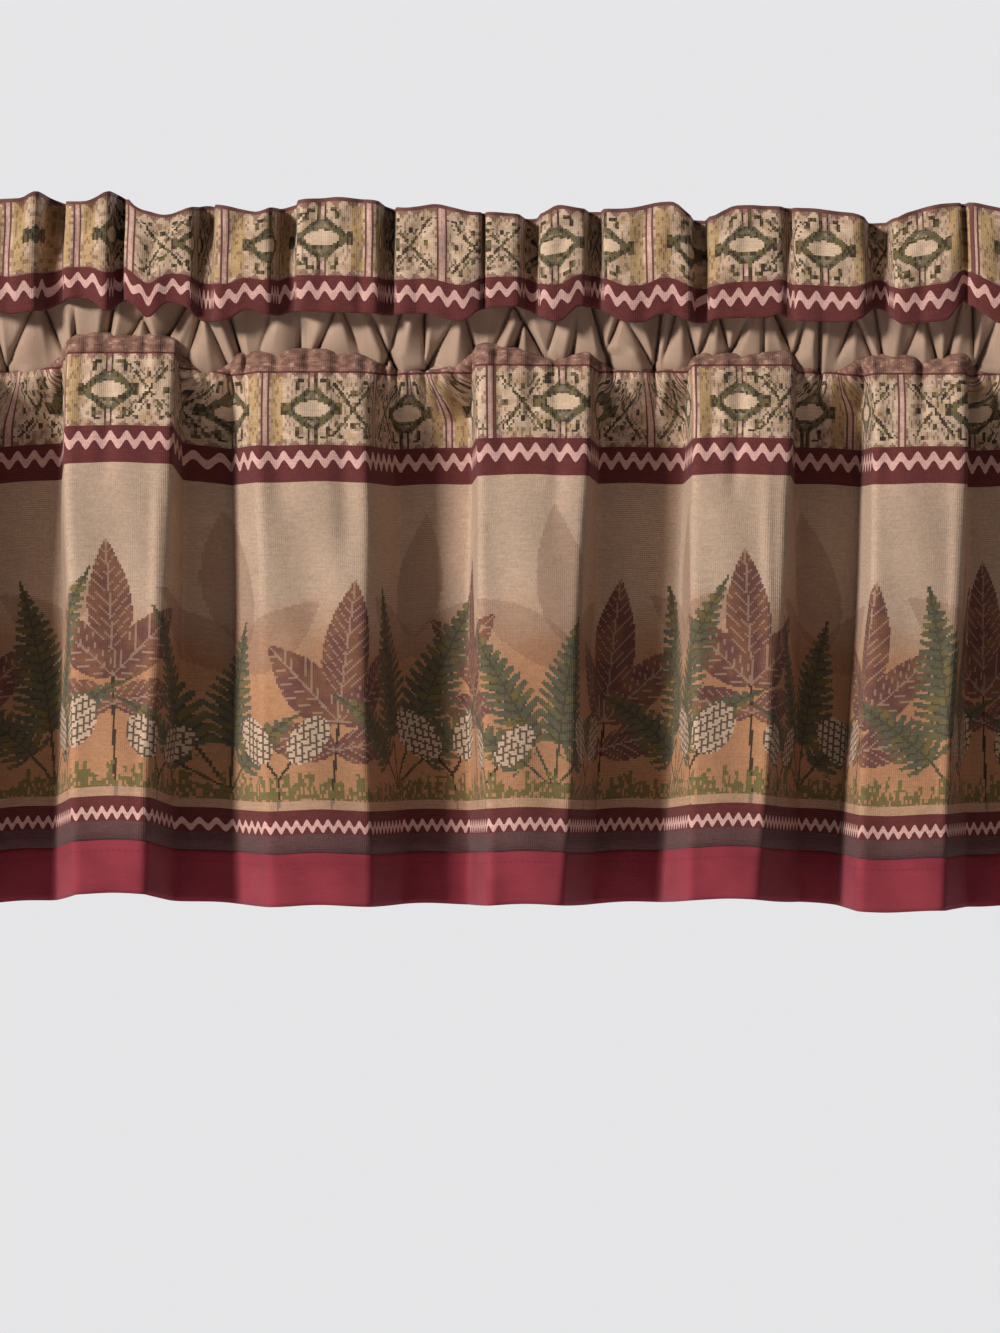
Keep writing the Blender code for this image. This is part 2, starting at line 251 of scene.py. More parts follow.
# A crease: x where it starts and ends, the lengths v between which it shows, its height, which is
# negative for a trough, and its width
Crease = namedtuple("Crease", "x x_end top bottom height width")
PANEL_CREASES = (
    Crease(-0.437, -0.434, 0.00, 0.10, -0.0018, 0.005),
    Crease(-0.344, -0.339, 0.00, 0.12, -0.0020, 0.006),
    Crease(-0.322, -0.326, 0.00, 0.08, -0.0022, 0.005),
    Crease(-0.302, -0.311, 0.04, 0.32, 0.0016, 0.003),
    Crease(-0.237, -0.235, 0.00, 0.07, -0.0016, 0.004),
    Crease(-0.220, -0.223, 0.00, 0.10, -0.0020, 0.005),
    Crease(-0.204, -0.206, 0.00, 0.06, -0.0018, 0.004),
    Crease(-0.191, -0.2035, 0.05, 0.33, 0.0018, 0.0026),
    Crease(-0.130, -0.124, 0.00, 0.11, -0.0022, 0.007),
    Crease(-0.107, -0.100, 0.00, 0.07, -0.0016, 0.005),
    Crease(-0.089, -0.088, 0.00, 0.14, -0.0020, 0.006),
    Crease(-0.118, -0.112, 0.14, 0.32, 0.0014, 0.012),
    Crease(-0.002, 0.003, 0.00, 0.09, -0.0018, 0.005),
    Crease(0.020, 0.017, 0.00, 0.06, -0.0022, 0.004),
    Crease(0.037, 0.030, 0.00, 0.12, -0.0018, 0.005),
    Crease(0.012, 0.010, 0.12, 0.32, 0.0012, 0.012),
    Crease(0.121, 0.119, 0.00, 0.08, -0.0018, 0.004),
    Crease(0.138, 0.132, 0.00, 0.10, -0.0026, 0.004),
    Crease(0.152, 0.149, 0.05, 0.33, 0.0018, 0.0028),
    Crease(0.223, 0.219, 0.00, 0.09, -0.0018, 0.005),
    Crease(0.241, 0.238, 0.00, 0.06, -0.0022, 0.004),
    Crease(0.258, 0.250, 0.05, 0.33, 0.0016, 0.0026),
    Crease(0.344, 0.342, 0.00, 0.09, -0.0020, 0.005),
    Crease(0.366, 0.358, 0.00, 0.12, -0.0018, 0.006),
    Crease(0.432, 0.434, 0.00, 0.10, -0.0016, 0.005),
)
HEADING_CREASES = (
    Crease(-0.366, -0.362, 0.0, 0.065, -0.0016, 0.004),
    Crease(-0.281, -0.278, 0.0, 0.065, -0.0018, 0.004),
    Crease(-0.240, -0.236, 0.0, 0.065, -0.0014, 0.003),
    Crease(-0.196, -0.203, 0.0, 0.065, -0.0020, 0.004),
    Crease(-0.150, -0.156, 0.0, 0.065, -0.0016, 0.004),
    Crease(-0.100, -0.103, 0.0, 0.065, -0.0008, 0.004),
    Crease(-0.078, -0.080, 0.0, 0.065, -0.0022, 0.003),
    Crease(-0.046, -0.048, 0.0, 0.065, -0.0016, 0.004),
    Crease(-0.029, -0.027, 0.0, 0.065, -0.0012, 0.004),
    Crease(0.034, 0.036, 0.0, 0.065, -0.0012, 0.003),
    Crease(0.080, 0.083, 0.0, 0.065, -0.0018, 0.005),
    Crease(0.097, 0.098, 0.0, 0.065, -0.0010, 0.003),
    Crease(0.139, 0.136, 0.0, 0.065, -0.0010, 0.004),
    Crease(0.182, 0.184, 0.0, 0.065, -0.0012, 0.004),
    Crease(0.240, 0.238, 0.0, 0.065, -0.0016, 0.004),
    Crease(0.285, 0.282, 0.0, 0.065, -0.0016, 0.004),
    Crease(0.372, 0.375, 0.0, 0.065, -0.0016, 0.004),
)

# A crease of the rod pocket: x at its middle, its depth as a share, how far x moves for each metre
# up, and where the ridge between it and the next one stands, as a share of the way
Pleat = namedtuple("Pleat", "x depth slant ridge")
PLEAT_SLANT = 1.5
PLEAT_ENDS = (0.0, 1.0, -1.0)  # in turn: a crease of full height, from the top, from the foot
PLEAT_REACH = (0.80, 1.1)  # a crease's strength at mid height, and how fast it fades to nothing
PLEAT_ROUNDING = 0.0005
PLEAT_RIDGE = 0.06
PAST_THE_END = 0.01  # where the creases have run out, beyond each end of the pocket
# The sharp slit at the bottom of each crease: its width, and its depth as a share of the crease's
FRONT_SLIT = (0.0012, 1.1)
BACK_SLIT = (0.0020, 0.7)
BACK_SHIFT = 0.004  # how far the back's creases stray from the front's
PLEATS = (
    Pleat(-0.438, 0.6, 0.1, 0.3), Pleat(-0.424, 1.0, -0.2, 0.65), Pleat(-0.412, 0.5, 0.3, 0.75),
    Pleat(-0.396, 0.9, 0.0, 0.7), Pleat(-0.383, 0.5, -0.3, 0.25), Pleat(-0.371, 1.0, 0.2, 0.45),
    Pleat(-0.357, 0.6, 0.3, 0.2), Pleat(-0.34, 0.8, -0.1, 0.55), Pleat(-0.327, 0.5, -0.3, 0.6),
    Pleat(-0.312, 1.0, 0.1, 0.5), Pleat(-0.301, 0.6, 0.2, 0.35), Pleat(-0.287, 0.8, -0.2, 0.3),
    Pleat(-0.273, 0.6, 0.3, 0.65), Pleat(-0.253, 0.8, -0.3, 0.75), Pleat(-0.242, 0.6, 0.0, 0.7),
    Pleat(-0.223, 1.0, 0.1, 0.25), Pleat(-0.21, 0.5, 0.4, 0.45), Pleat(-0.199, 0.9, -0.3, 0.2),
    Pleat(-0.189, 0.7, 0.4, 0.55), Pleat(-0.174, 0.8, 0.2, 0.6), Pleat(-0.163, 0.5, -0.3, 0.5),
    Pleat(-0.151, 0.9, -0.2, 0.35), Pleat(-0.134, 0.3, 0.2, 0.3), Pleat(-0.114, 0.4, 0.0, 0.65),
    Pleat(-0.1, 0.6, 0.3, 0.75), Pleat(-0.084, 0.4, -0.3, 0.7), Pleat(-0.068, 1.0, -0.3, 0.25),
    Pleat(-0.06, 0.7, 0.2, 0.45), Pleat(-0.043, 1.0, 0.0, 0.2), Pleat(-0.031, 0.8, 0.4, 0.55),
    Pleat(-0.017, 0.6, -0.2, 0.6), Pleat(0.0, 0.6, 0.3, 0.5), Pleat(0.011, 1.0, 0.2, 0.35),
    Pleat(0.018, 0.8, -0.4, 0.3), Pleat(0.03, 0.4, 0.2, 0.65), Pleat(0.043, 0.7, 0.1, 0.75),
    Pleat(0.057, 1.0, -0.2, 0.7), Pleat(0.064, 0.7, 0.3, 0.25), Pleat(0.077, 0.6, -0.4, 0.45),
    Pleat(0.091, 1.0, 0.1, 0.2), Pleat(0.097, 0.8, 0.2, 0.55), Pleat(0.108, 0.7, -0.2, 0.6),
    Pleat(0.118, 0.5, 0.3, 0.5), Pleat(0.128, 0.8, -0.2, 0.35), Pleat(0.137, 0.7, 0.4, 0.3),
    Pleat(0.15, 0.4, 0.0, 0.65), Pleat(0.162, 1.0, -0.3, 0.75), Pleat(0.171, 0.7, 0.2, 0.7),
    Pleat(0.182, 0.8, 0.0, 0.25), Pleat(0.198, 0.9, 0.3, 0.45), Pleat(0.207, 0.6, -0.3, 0.2),
    Pleat(0.216, 0.7, -0.1, 0.55), Pleat(0.236, 0.5, 0.3, 0.6), Pleat(0.245, 0.8, -0.2, 0.5),
    Pleat(0.258, 0.5, 0.2, 0.35), Pleat(0.27, 1.0, 0.0, 0.3), Pleat(0.279, 0.7, 0.3, 0.65),
    Pleat(0.294, 0.9, -0.2, 0.75), Pleat(0.306, 0.5, 0.2, 0.7), Pleat(0.321, 1.0, 0.1, 0.25),
    Pleat(0.335, 0.6, -0.3, 0.45), Pleat(0.348, 0.8, 0.3, 0.2), Pleat(0.361, 0.5, 0.0, 0.55),
    Pleat(0.374, 1.0, -0.2, 0.6), Pleat(0.388, 0.6, 0.2, 0.5), Pleat(0.402, 0.9, 0.1, 0.35),
    Pleat(0.416, 0.6, -0.3, 0.3), Pleat(0.43, 0.8, 0.2, 0.65),
)


def mix(start, end, share):
    """The value a share of the way from start to end."""
    return start + (end - start) * share


def ease(share):
    """0 to 1 with soft ends, flat outside them."""
    share = np.clip(share, 0.0, 1.0)
    return share * share * (3.0 - 2.0 * share)


def along_line(line, x):
    """The height of a line of (x, height) at x, rounded where its slope changes."""
    places, heights = np.array(line).T
    offsets = (-0.003, -0.0015, 0.0, 0.0015, 0.003)
    return np.mean([np.interp(x + offset, places, heights) for offset in offsets], axis=0)


def lengths_along(x, y):
    """The length of the path through the points of a row, from its first point to each."""
    return np.concatenate(([0.0], np.cumsum(np.hypot(np.diff(x), np.diff(y)))))


def waving(wave, x, v):
    """How far a slow wave of the loose cloth moves it at x and v."""
    return wave.height * np.sin(math.tau * (x / wave.pitch_x + v / wave.pitch_v))


# ---- Folds


def fold_corners(level):
    """The folds' corners in plan at a level from 0, where they are formed, to 1 at the hem.

    Each corner holds x, y, rise and how far it stands forward, from 0 in a valley to 1 on a face.
    """
    corners = []
    for fold in FOLDS:
        left = mix(fold.left, fold.hem_left, level)
        right = mix(fold.right, fold.hem_right, level)
        left_flank = mix(fold.left_flank, fold.hem_left_flank, level)
        right_flank = mix(fold.right_flank, fold.hem_right_flank, level)
        rise = mix(fold.rise, fold.hem_rise, level)
        face_y = VALLEY_Y - mix(fold.depth, fold.hem_depth, level)
        if fold is not FOLDS[0]:
            corners.append(np.array((left - left_flank, VALLEY_Y, VALLEY_RISE * rise, 0.0)))
        corners.append(np.array((left, face_y, rise, 1.0)))
        corners.append(np.array((right, face_y, rise, 1.0)))
        if fold is not FOLDS[-1]:
            corners.append(np.array((right + right_flank, VALLEY_Y, VALLEY_RISE * rise, 0.0)))
    return corners


def ruffle_corners():
    """The heading's corners in plan, as fold_corners has them, with no rise."""
    corners = []
    for ruffle, following in zip(RUFFLES, RUFFLES[1:] + (None,)):
        corners.append(np.array((ruffle.left, -HEAD_CREST_DEPTH, 0.0, 1.0)))
        corners.append(np.array((ruffle.right, -HEAD_CREST_DEPTH, 0.0, 1.0)))
        if following:
            front = 1.0 - ruffle.dip
            for share in VALLEY_SHARES:
                x = mix(ruffle.right, following.left, share)
                corners.append(np.array((x, -front * HEAD_CREST_DEPTH, 0.0, front)))
    return corners


def softened(corners, reach):
    """Controls of a smooth curve that rounds each inner corner off within its reach."""
    controls = [corners[0]]
    for here, following in zip(corners, corners[1:]):
        share = min(reach / np.linalg.norm((following - here)[:2]), MOST_OF_A_SIDE)
        if here is not corners[0]:
            controls.append(mix(here, following, share))
        if here[FRONT] == following[FRONT]:
            controls.append(mix(here, following, 0.5))
        if following is not corners[-1]:
            controls += [mix(following, here, share), following]
    controls.append(corners[-1])
    return np.array(controls)


def on_curve(controls, steps):
    """Points at steps along the controls' quadratic spline; step 1 is nearest to control 1."""
    before = 2.0 * controls[0] - controls[1]
    after = 2.0 * controls[-1] - controls[-2]
    chain = np.vstack((before, controls, after))
    nearest = np.rint(steps).astype(int)
    share = (steps - nearest + 0.5)[:, None]
    behind, ahead = 0.5 * (1.0 - share) ** 2, 0.5 * share**2
    near = 0.5 + share * (1.0 - share)
    return behind * chain[nearest] + near * chain[nearest + 1] + ahead * chain[nearest + 2]


def even_steps(controls, count):
    """Steps that divide the curve evenly."""
    fine = np.linspace(0.0, len(controls) - 1.0, 8000)
    lengths = lengths_along(*on_curve(controls, fine).T[:2])
    return np.interp(np.linspace(0.0, lengths[-1], count + 1), lengths, fine)


def shown_lengths(lengths, phases):
    """The lengths of cloth at the faces' middles, moved the least way to show each one's phase."""
    repeat = ORNAMENT_REPEAT * 0.001
    shown = []
    for length, phase in zip(lengths, phases):
        if phase is not None:
            length += (phase * 0.001 - length + 0.5 * repeat) % repeat - 0.5 * repeat
        shown.append(length)
    return shown


def cloth_across(x, y, faces, middles):
    """The length of cloth u at each point of a row, true on each face, whose middle is given."""
    lengths = lengths_along(x, y)
    knots = []
    for (left, right), middle in zip(faces, middles):
        start, centre, end = np.interp((left, 0.5 * (left + right), right), x, lengths)
        knots += [(start, middle + start - centre), (end, middle + end - centre)]
    line, u = np.array(knots).T
    return np.interp(lengths, line, u)


def crease_relief(creases, x, v):
    """How far the creases raise the cloth at x and v, negative where they are troughs."""
    relief = np.zeros_like(x)
    for crease in creases:
        share = (v - crease.top) / (crease.bottom - crease.top)
        centre = mix(crease.x, crease.x_end, np.clip(share, 0.0, 1.0))
        fade = ease((1.0 - share) * 3.0)
        if crease.top > 0.0:
            fade = fade * ease(share * 4.0)
        relief += crease.height * fade * np.exp(-(((x - centre) / crease.width) ** 2))
    return relief


def gathers(x):
    """The rod pocket's broad gathers, from -1, drawn in, to 1, puffed out."""
    long_pitch, short_pitch = PUCKER_PITCHES
    wander = 2.5 * np.sin(7.0 * x)
    long_wave = np.sin(math.tau * x / long_pitch + wander)
    short_wave = np.sin(math.tau * x / short_pitch + 1.3)
    return 0.6 * long_wave + 0.4 * short_wave


def pocket_front(z):
    """Y of the pocket's front wall at a height, where it puffs out most."""
    middle = 0.5 * (POCKET_TOP + POCKET_BOTTOM)
    half_height = 0.5 * (POCKET_TOP - POCKET_BOTTOM)
    across = np.cos(np.arcsin(np.clip((z - middle) / half_height, -1.0, 1.0)))
    return -POCKET_HALF_DEPTH * across**POCKET_FULLNESS - PUCKER_DEPTH * across


def seam_puckers(x):
    """The fine puckers of the panel just below its seam, as heights along x."""
    long_pitch, short_pitch = PUCKER_WAVES
    wander = 3.0 * np.sin(31.0 * x)
    return np.sin(math.tau * x / long_pitch + wander) + 0.6 * np.sin(math.tau * x / short_pitch)


def hanging_cloth(start, end, grid, sizes):
    """Points and cloth coordinates of the cloth below the pocket, from one length v to another.

    A start of None is the seam on the pocket, where v is what the seam has drawn up.
    """
    columns, rows = grid
    whole = PANEL_LENGTH + BAND_LENGTH
    laid_out = softened(fold_corners(WEAVE_LEVEL), CORNER)
    steps = even_steps(laid_out, columns)
    x, y = on_curve(laid_out, steps).T[:2]
    lengths = lengths_along(x, y)
    middles = [np.interp(0.5 * (fold.left + fold.right), x, lengths) for fold in FOLDS]
    middles = shown_lengths(middles, PANEL_PHASES)
    points = []
    spread = ROWS_SPREAD if start is None else 1.0
    for share in np.linspace(0.0, 1.0, rows + 1) ** spread:
        v_face = mix(start or 0.0, end, share)
        level = min(max((v_face - FOLDS_FORMED) / (whole - FOLDS_FORMED), 0.0), 1.0)
        x, y, rise, front = on_curve(softened(fold_corners(level), CORNER), steps).T
        tuck = along_line(SEAM_TUCK, x)
        v = mix(tuck, end, share) if start is None else np.full_like(x, v_face)
        below = v - tuck
        seam_z = SEAM_Z + rise - tuck * PLUMB
        seam_y = pocket_front(np.maximum(seam_z, LOWEST_HOLD)) - PANEL_LAP
        y = mix(seam_y, y, ease(below / GATHER_DROP))
        faces = [
            (mix(fold.left, fold.hem_left, level), mix(fold.right, fold.hem_right, level))
            for fold in FOLDS
        ]
        u = cloth_across(x, y, faces, middles)
        held = PUCKER_SHARE * np.exp(-below / PUCKER_END) * ease(below / PUCKER_START)
        y -= sizes.pucker_depth * held * seam_puckers(x)
        gathered = seam_gathers(x) * np.exp(-((below / GATHER_END) ** 2))
        y += sizes.gather_depth * gathered * (1.0 - FACE_HOLD * front)
        y -= sizes.crease_strength * crease_relief(PANEL_CREASES, x, v)
        if start is None:
            y += SEAM_ROLL * np.exp(-below / SEAM_ROLL_END)
        else:
            y += SEAM_STEP * (1.0 - ease((v - PANEL_LENGTH) / SEAM_STEP_END))
        loose = ease(v / LOOSE_END)
        for wave in FACE_WAVES:
            y += loose * waving(wave, x, v) * front
        x = x + loose * waving(SIDE_WAVE, x, v)
        z = SEAM_Z + rise - v * PLUMB + loose * waving(HEM_WAVE, x, v)
        points.append(np.stack((x, y, z, u, v), axis=1))
    return np.array(points)


def standing_cloth(sizes):
    """Points and cloth coordinates of the heading, from its crest down to its foot."""
    columns, rows = HEADING_GRID
    controls = softened(ruffle_corners(), HEAD_CORNER)
    steps = even_steps(controls, columns)
    x, y, _, front = on_curve(controls, steps).T
    lengths = lengths_along(x, y)
    faces = [(ruffle.left, ruffle.right) for ruffle in RUFFLES]
    middles = [np.interp(0.5 * (left + right), x, lengths) for left, right in faces]
    middles = shown_lengths(middles, [ruffle.phase for ruffle in RUFFLES])
    u = cloth_across(x, y, faces, middles)
    crest = along_line(CREST, x)
    foot = along_line(FOOT, x)
    points = []
    for share in np.linspace(1.0, 0.0, rows + 1):
        lean = ease((share - HEAD_UPRIGHT) / (1.0 - HEAD_UPRIGHT))
        foot_y = pocket_front(foot) - HEAD_LAP - front * HEAD_FOOT_DEPTH
        crest_y = HEAD_CREST_BACK - front * HEAD_CREST_DEPTH
        v = np.full_like(x, (1.0 - share) * HEAD_LENGTH)
        y = mix(foot_y, crest_y, lean)
        y -= sizes.crease_strength * crease_relief(HEADING_CREASES, x, v * HEADING_CREASE_SHARE)
        y += waving(HEADING_WAVE, x, v) * (0.3 + lean)
        y -= HEADING_BELLY * front * np.sin(math.pi * share) ** 2
        z = mix(foot, crest, share)
        points.append(np.stack((x, y, z, u, v), axis=1))
    return np.array(points)


def pleat_place(pleat, height):
    """X of a crease of the rod pocket at a height from -1 to 1."""
    return pleat.x + PLEAT_SLANT * pleat.slant * height * 0.5 * (POCKET_TOP - POCKET_BOTTOM)


def seam_gathers(x):
    """How deep, from 0 to 1, the pocket's creases draw the panel's cloth in at their seam."""
    drawn = np.zeros_like(x)
    for number, pleat in enumerate(PLEATS):
        if PLEAT_ENDS[number % len(PLEAT_ENDS)] <= 0.0:
            distance = (x - pleat_place(pleat, SEAM_HEIGHT)) / GATHER_WIDTH
            drawn = np.maximum(drawn, pleat.depth * np.exp(-(distance**2)))
    return drawn


def pocket_creases(x, height, front):
    """How far the tight creases draw the pocket's cloth in at x, at a height from -1 to 1."""
    strength_halfway, fade = PLEAT_REACH
    places = []
    for number, pleat in enumerate(PLEATS):
        end = PLEAT_ENDS[number % len(PLEAT_ENDS)]
        strength = 1.0 if end == 0.0 else ease((strength_halfway + end * height) / fade)
        if front:
            place = pleat_place(pleat, height)
        else:  # the back's rows are further apart, and its creases go straight up
            place = pleat.x + BACK_SHIFT * math.sin(2.3 * number)
        places.append((place, pleat.depth * strength, pleat.ridge))
    places.sort()
    knots = [(-HALF_WIDTH - PAST_THE_END, 0.0)]
    for (place, depth, ridge), following in zip(places, places[1:]):
        knots.append((place, -depth))
        knots.append((mix(place, following[0], ridge), PLEAT_RIDGE))
    knots += [(places[-1][0], -places[-1][1]), (HALF_WIDTH + PAST_THE_END, 0.0)]
    line_x, line_y = np.array(knots).T
    offsets = (-PLEAT_ROUNDING, 0.0, PLEAT_ROUNDING)
    facets = np.mean([np.interp(x + offset, line_x, line_y) for offset in offsets], axis=0)
    slit_width, slit_share = FRONT_SLIT if front else BACK_SLIT
    for place, depth, _ in places:
        facets -= slit_share * depth * np.exp(-(((x - place) / slit_width) ** 2))
    return facets


def pocket_cloth(sizes):
    """Points and cloth coordinates of the rod pocket, round its tube from its back seam."""
    columns, sides = POCKET_GRID
    x = np.linspace(-HALF_WIDTH, HALF_WIDTH, columns + 1)
    middle = 0.5 * (POCKET_TOP + POCKET_BOTTOM)
    half_height = 0.5 * (POCKET_TOP - POCKET_BOTTOM)
    points = []
    for side in range(sides + 1):
        round_tube = side / sides + FRONT_SHARE * math.sin(math.tau * side / sides) / math.tau
        angle = math.tau * round_tube + math.pi
        across = math.cos(angle)
        z = middle + half_height * math.sin(angle)
        depth = POCKET_HALF_DEPTH * math.copysign(abs(across) ** POCKET_FULLNESS, across)
        depth = depth + PUCKER_DEPTH * gathers(x) * across
        hold = math.copysign(min(abs(across) * 2.0, 1.0), across)
        creases = pocket_creases(x, math.sin(angle), across > 0.0)
        depth = depth + sizes.pucker_depth * creases * hold
        v = np.full_like(x, POCKET_FLAT_LENGTH * round_tube)
        u = (x + HALF_WIDTH) * FLAT_WIDTH / (2.0 * HALF_WIDTH)
        points.append(np.stack((x, -depth, np.full_like(x, z), u, v), axis=1))
    return np.array(points)


# ---- Cloth as meshes


def cloth_piece(name, points, thickness, materials, closed=False):
    """A sheet of cloth with its points, its cloth coordinates as a UV map, and its thickness."""
    rows, columns = points.shape[:2]
    mesh = bmesh.new()
    uv_map = mesh.loops.layers.uv.new("cloth")
    bmesh.ops.create_grid(mesh, x_segments=columns - 1, y_segments=rows - 1, size=1.0)
    places = {}
    for vert in mesh.verts:
        column = round((vert.co.x + 1.0) / 2.0 * (columns - 1))
        row = round((1.0 - vert.co.y) / 2.0 * (rows - 1))
        places[vert.index] = points[row, column]
        vert.co = points[row, column, :3]
    for face in mesh.faces:
        face.smooth = True
        for loop in face.loops:
            loop[uv_map].uv = places[loop.vert.index][3:]
    if closed:
        bmesh.ops.remove_doubles(mesh, verts=mesh.verts, dist=0.00001)
    data = bpy.data.meshes.new(name)
    mesh.to_mesh(data)
    mesh.free()
    for material in materials:
        data.materials.append(material)
    piece = bpy.data.objects.new(name, data)
    bpy.context.collection.objects.link(piece)
    solidify = piece.modifiers.new("thickness", "SOLIDIFY")
    solidify.thickness = thickness
    solidify.offset = 0.0
    solidify.material_offset = 1 if len(materials) > 1 else 0
    return piece


# ---- Woven materials


class Field:
    """A number at each point of the cloth. Arithmetic on fields adds nodes to the material."""

    def __init__(self, tree, socket):
        self.tree = tree
        self.socket = socket

    def maths(self, operation, *others):
        node = self.tree.nodes.new("ShaderNodeMath")
        node.operation = operation
        for socket, value in zip(node.inputs, (self, *others)):
            feed(self.tree, socket, value)
        return Field(self.tree, node.outputs[0])

    def __add__(self, other):
        return self.maths("ADD", other)

    def __sub__(self, other):
        return self.maths("SUBTRACT", other)

    def __rsub__(self, other):
        return self.maths("MULTIPLY_ADD", -1.0, other)

    def __mul__(self, other):
        return self.maths("MULTIPLY", other)

    def __truediv__(self, other):
        return self.maths("DIVIDE", other)

    def __pow__(self, power):
        return self.maths("POWER", power)

    def __abs__(self):
        return self.maths("ABSOLUTE")

    __radd__ = __add__

    def below(self, limit):
        return self.maths("LESS_THAN", limit)

    def above(self, limit):
        return self.maths("GREATER_THAN", limit)

    def within(self, low, high):
        return self.above(low) * self.below(high)

    def fraction(self):
        return self.maths("FRACT")

    def sine(self):
        return self.maths("SINE")

    def either(self, other):
        return self.maths("MAXIMUM", other)

    def clamped(self):
        return self.maths("MAXIMUM", 0.0).maths("MINIMUM", 1.0)

    def eased(self, low, high):
        """0 below low and 1 above high, with a soft step between them."""
        node = self.tree.nodes.new("ShaderNodeMapRange")
        node.interpolation_type = "SMOOTHSTEP"
        feed(self.tree, node.inputs["Value"], self)
        feed(self.tree, node.inputs["From Min"], low)
        feed(self.tree, node.inputs["From Max"], high)
        return Field(self.tree, node.outputs["Result"])

    def stepped(self, pitch):
        """The field in steps, as a chart's squares have it."""
        return ((self / pitch).maths("FLOOR") + 0.5) * pitch


def feed(tree, socket, value):
    """Links a field to a socket, or sets the socket to a plain number or colour."""
    if isinstance(value, Field):
        tree.links.new(value.socket, socket)
    elif hasattr(value, "is_output"):
        tree.links.new(value, socket)
    elif hasattr(value, "__len__") and len(value) == 3 and len(socket.default_value) == 4:
        socket.default_value = (*value, 1.0)
    else:
        socket.default_value = value


class Weave:
    """The nodes of one cloth's material. Its u and v are in millimetres."""

    def __init__(self, name):
        self.material = bpy.data.materials.new(name)
        self.material.use_nodes = True
        self.tree = self.material.node_tree
        self.shader = self.tree.nodes["Principled BSDF"]
        uv_map = self.tree.nodes.new("ShaderNodeUVMap")
        uv_map.uv_map = "cloth"
        parts = self.tree.nodes.new("ShaderNodeSeparateXYZ")
        self.tree.links.new(uv_map.outputs[0], parts.inputs[0])
        self.u = Field(self.tree, parts.outputs[0]) * 1000.0
        self.v = Field(self.tree, parts.outputs[1]) * 1000.0

    def place(self, across, down):
        node = self.tree.nodes.new("ShaderNodeCombineXYZ")
        feed(self.tree, node.inputs[0], across)
        feed(self.tree, node.inputs[1], down)
        return node.outputs[0]

    def noise(self, across, down, detail=2.0):
        """Cloudy noise from 0 to 1 over two fields, about one blot for each unit of them."""
        node = self.tree.nodes.new("ShaderNodeTexNoise")
        node.noise_dimensions = "2D"
        node.inputs["Scale"].default_value = 1.0
        node.inputs["Detail"].default_value = detail
        feed(self.tree, node.inputs["Vector"], self.place(across, down))
        return Field(self.tree, node.outputs["Fac"])

    def speckle(self, across, down):
        """A different number from 0 to 1 for each pair of values of two stepped fields."""
        node = self.tree.nodes.new("ShaderNodeTexWhiteNoise")
        node.noise_dimensions = "2D"
        feed(self.tree, node.inputs["Vector"], self.place(across, down))
        return Field(self.tree, node.outputs["Value"])

    def blend(self, under, over, where):
        """The colour over, where the field is 1, on the colour under, where it is 0."""
        node = self.tree.nodes.new("ShaderNodeMix")
        node.data_type = "RGBA"
        feed(self.tree, node.inputs[0], where)
        feed(self.tree, node.inputs[6], under)
        feed(self.tree, node.inputs[7], over)
        return node.outputs[2]

    def shade(self, colour, factor):
        """The colour times a field."""
        node = self.tree.nodes.new("ShaderNodeVectorMath")
        node.operation = "SCALE"
        feed(self.tree, node.inputs[0], colour)
        feed(self.tree, node.inputs["Scale"], factor)
        return node.outputs[0]

    def finish(self, colour, roughness, height, relief, sheen):
        """Connects the colour, the roughness and the bump, whose relief is in metres."""
        feed(self.tree, self.shader.inputs["Base Color"], colour)
        feed(self.tree, self.shader.inputs["Roughness"], roughness)
        self.shader.inputs["Sheen Weight"].default_value = sheen
        self.shader.inputs["Sheen Roughness"].default_value = 0.5
        self.shader.inputs["Specular IOR Level"].default_value = 0.15
        bump = self.tree.nodes.new("ShaderNodeBump")
        bump.inputs["Strength"].default_value = 0.7
        bump.inputs["Distance"].default_value = relief
        feed(self.tree, bump.inputs["Height"], height)
        self.tree.links.new(bump.outputs[0], self.shader.inputs["Normal"])
        return self.material


# The zigzags: how far their line swings and half its stroke, as shares of their height
TOOTH_SWING = 0.43
TOOTH_STROKE = 0.225
# The geometric band's chart, in millimetres. Places are from the double bar at the repeat's start,
# and the same to both sides of it; heights are from the band's middle line.
CROSSING_PLACE = 18.0
CROSSING_SLOPE = 1.32
CROSSING_HEIGHT = 15.5
LOZENGE_PLACE = 41.0
LOZENGE_HALF_WIDTH = 17.4
LOZENGE_HALF_HEIGHT = 14.6
EYE_HALF_WIDTH = 9.7
EYE_HALF_HEIGHT = 4.6
BROAD_LINE = 1.7  # half the width of the chart's main lines
FINE_LINE = 1.3
BAND_HALF_HEIGHT = 20.6
BAND_STEPS = 15.0  # of the band's stepped edge in each repeat
CHART_SQUARE = 1.15


def from_repeat(field, centre, repeat):
    """The distance from the nearest repeat of a centre."""
    return (((field - centre) / repeat + 0.5).fraction() - 0.5) * repeat


def toothed(u, v, top, pitch, height):
    """A zigzag line of rounded teeth that starts at v = top."""
    swing = (abs((u / pitch).fraction() - 0.5) * 2.0).eased(0.0, 1.0)
    middle = top + height * 0.5 + (swing - 0.5) * (height * TOOTH_SWING)
    return abs(v - middle).below(height * TOOTH_STROKE)


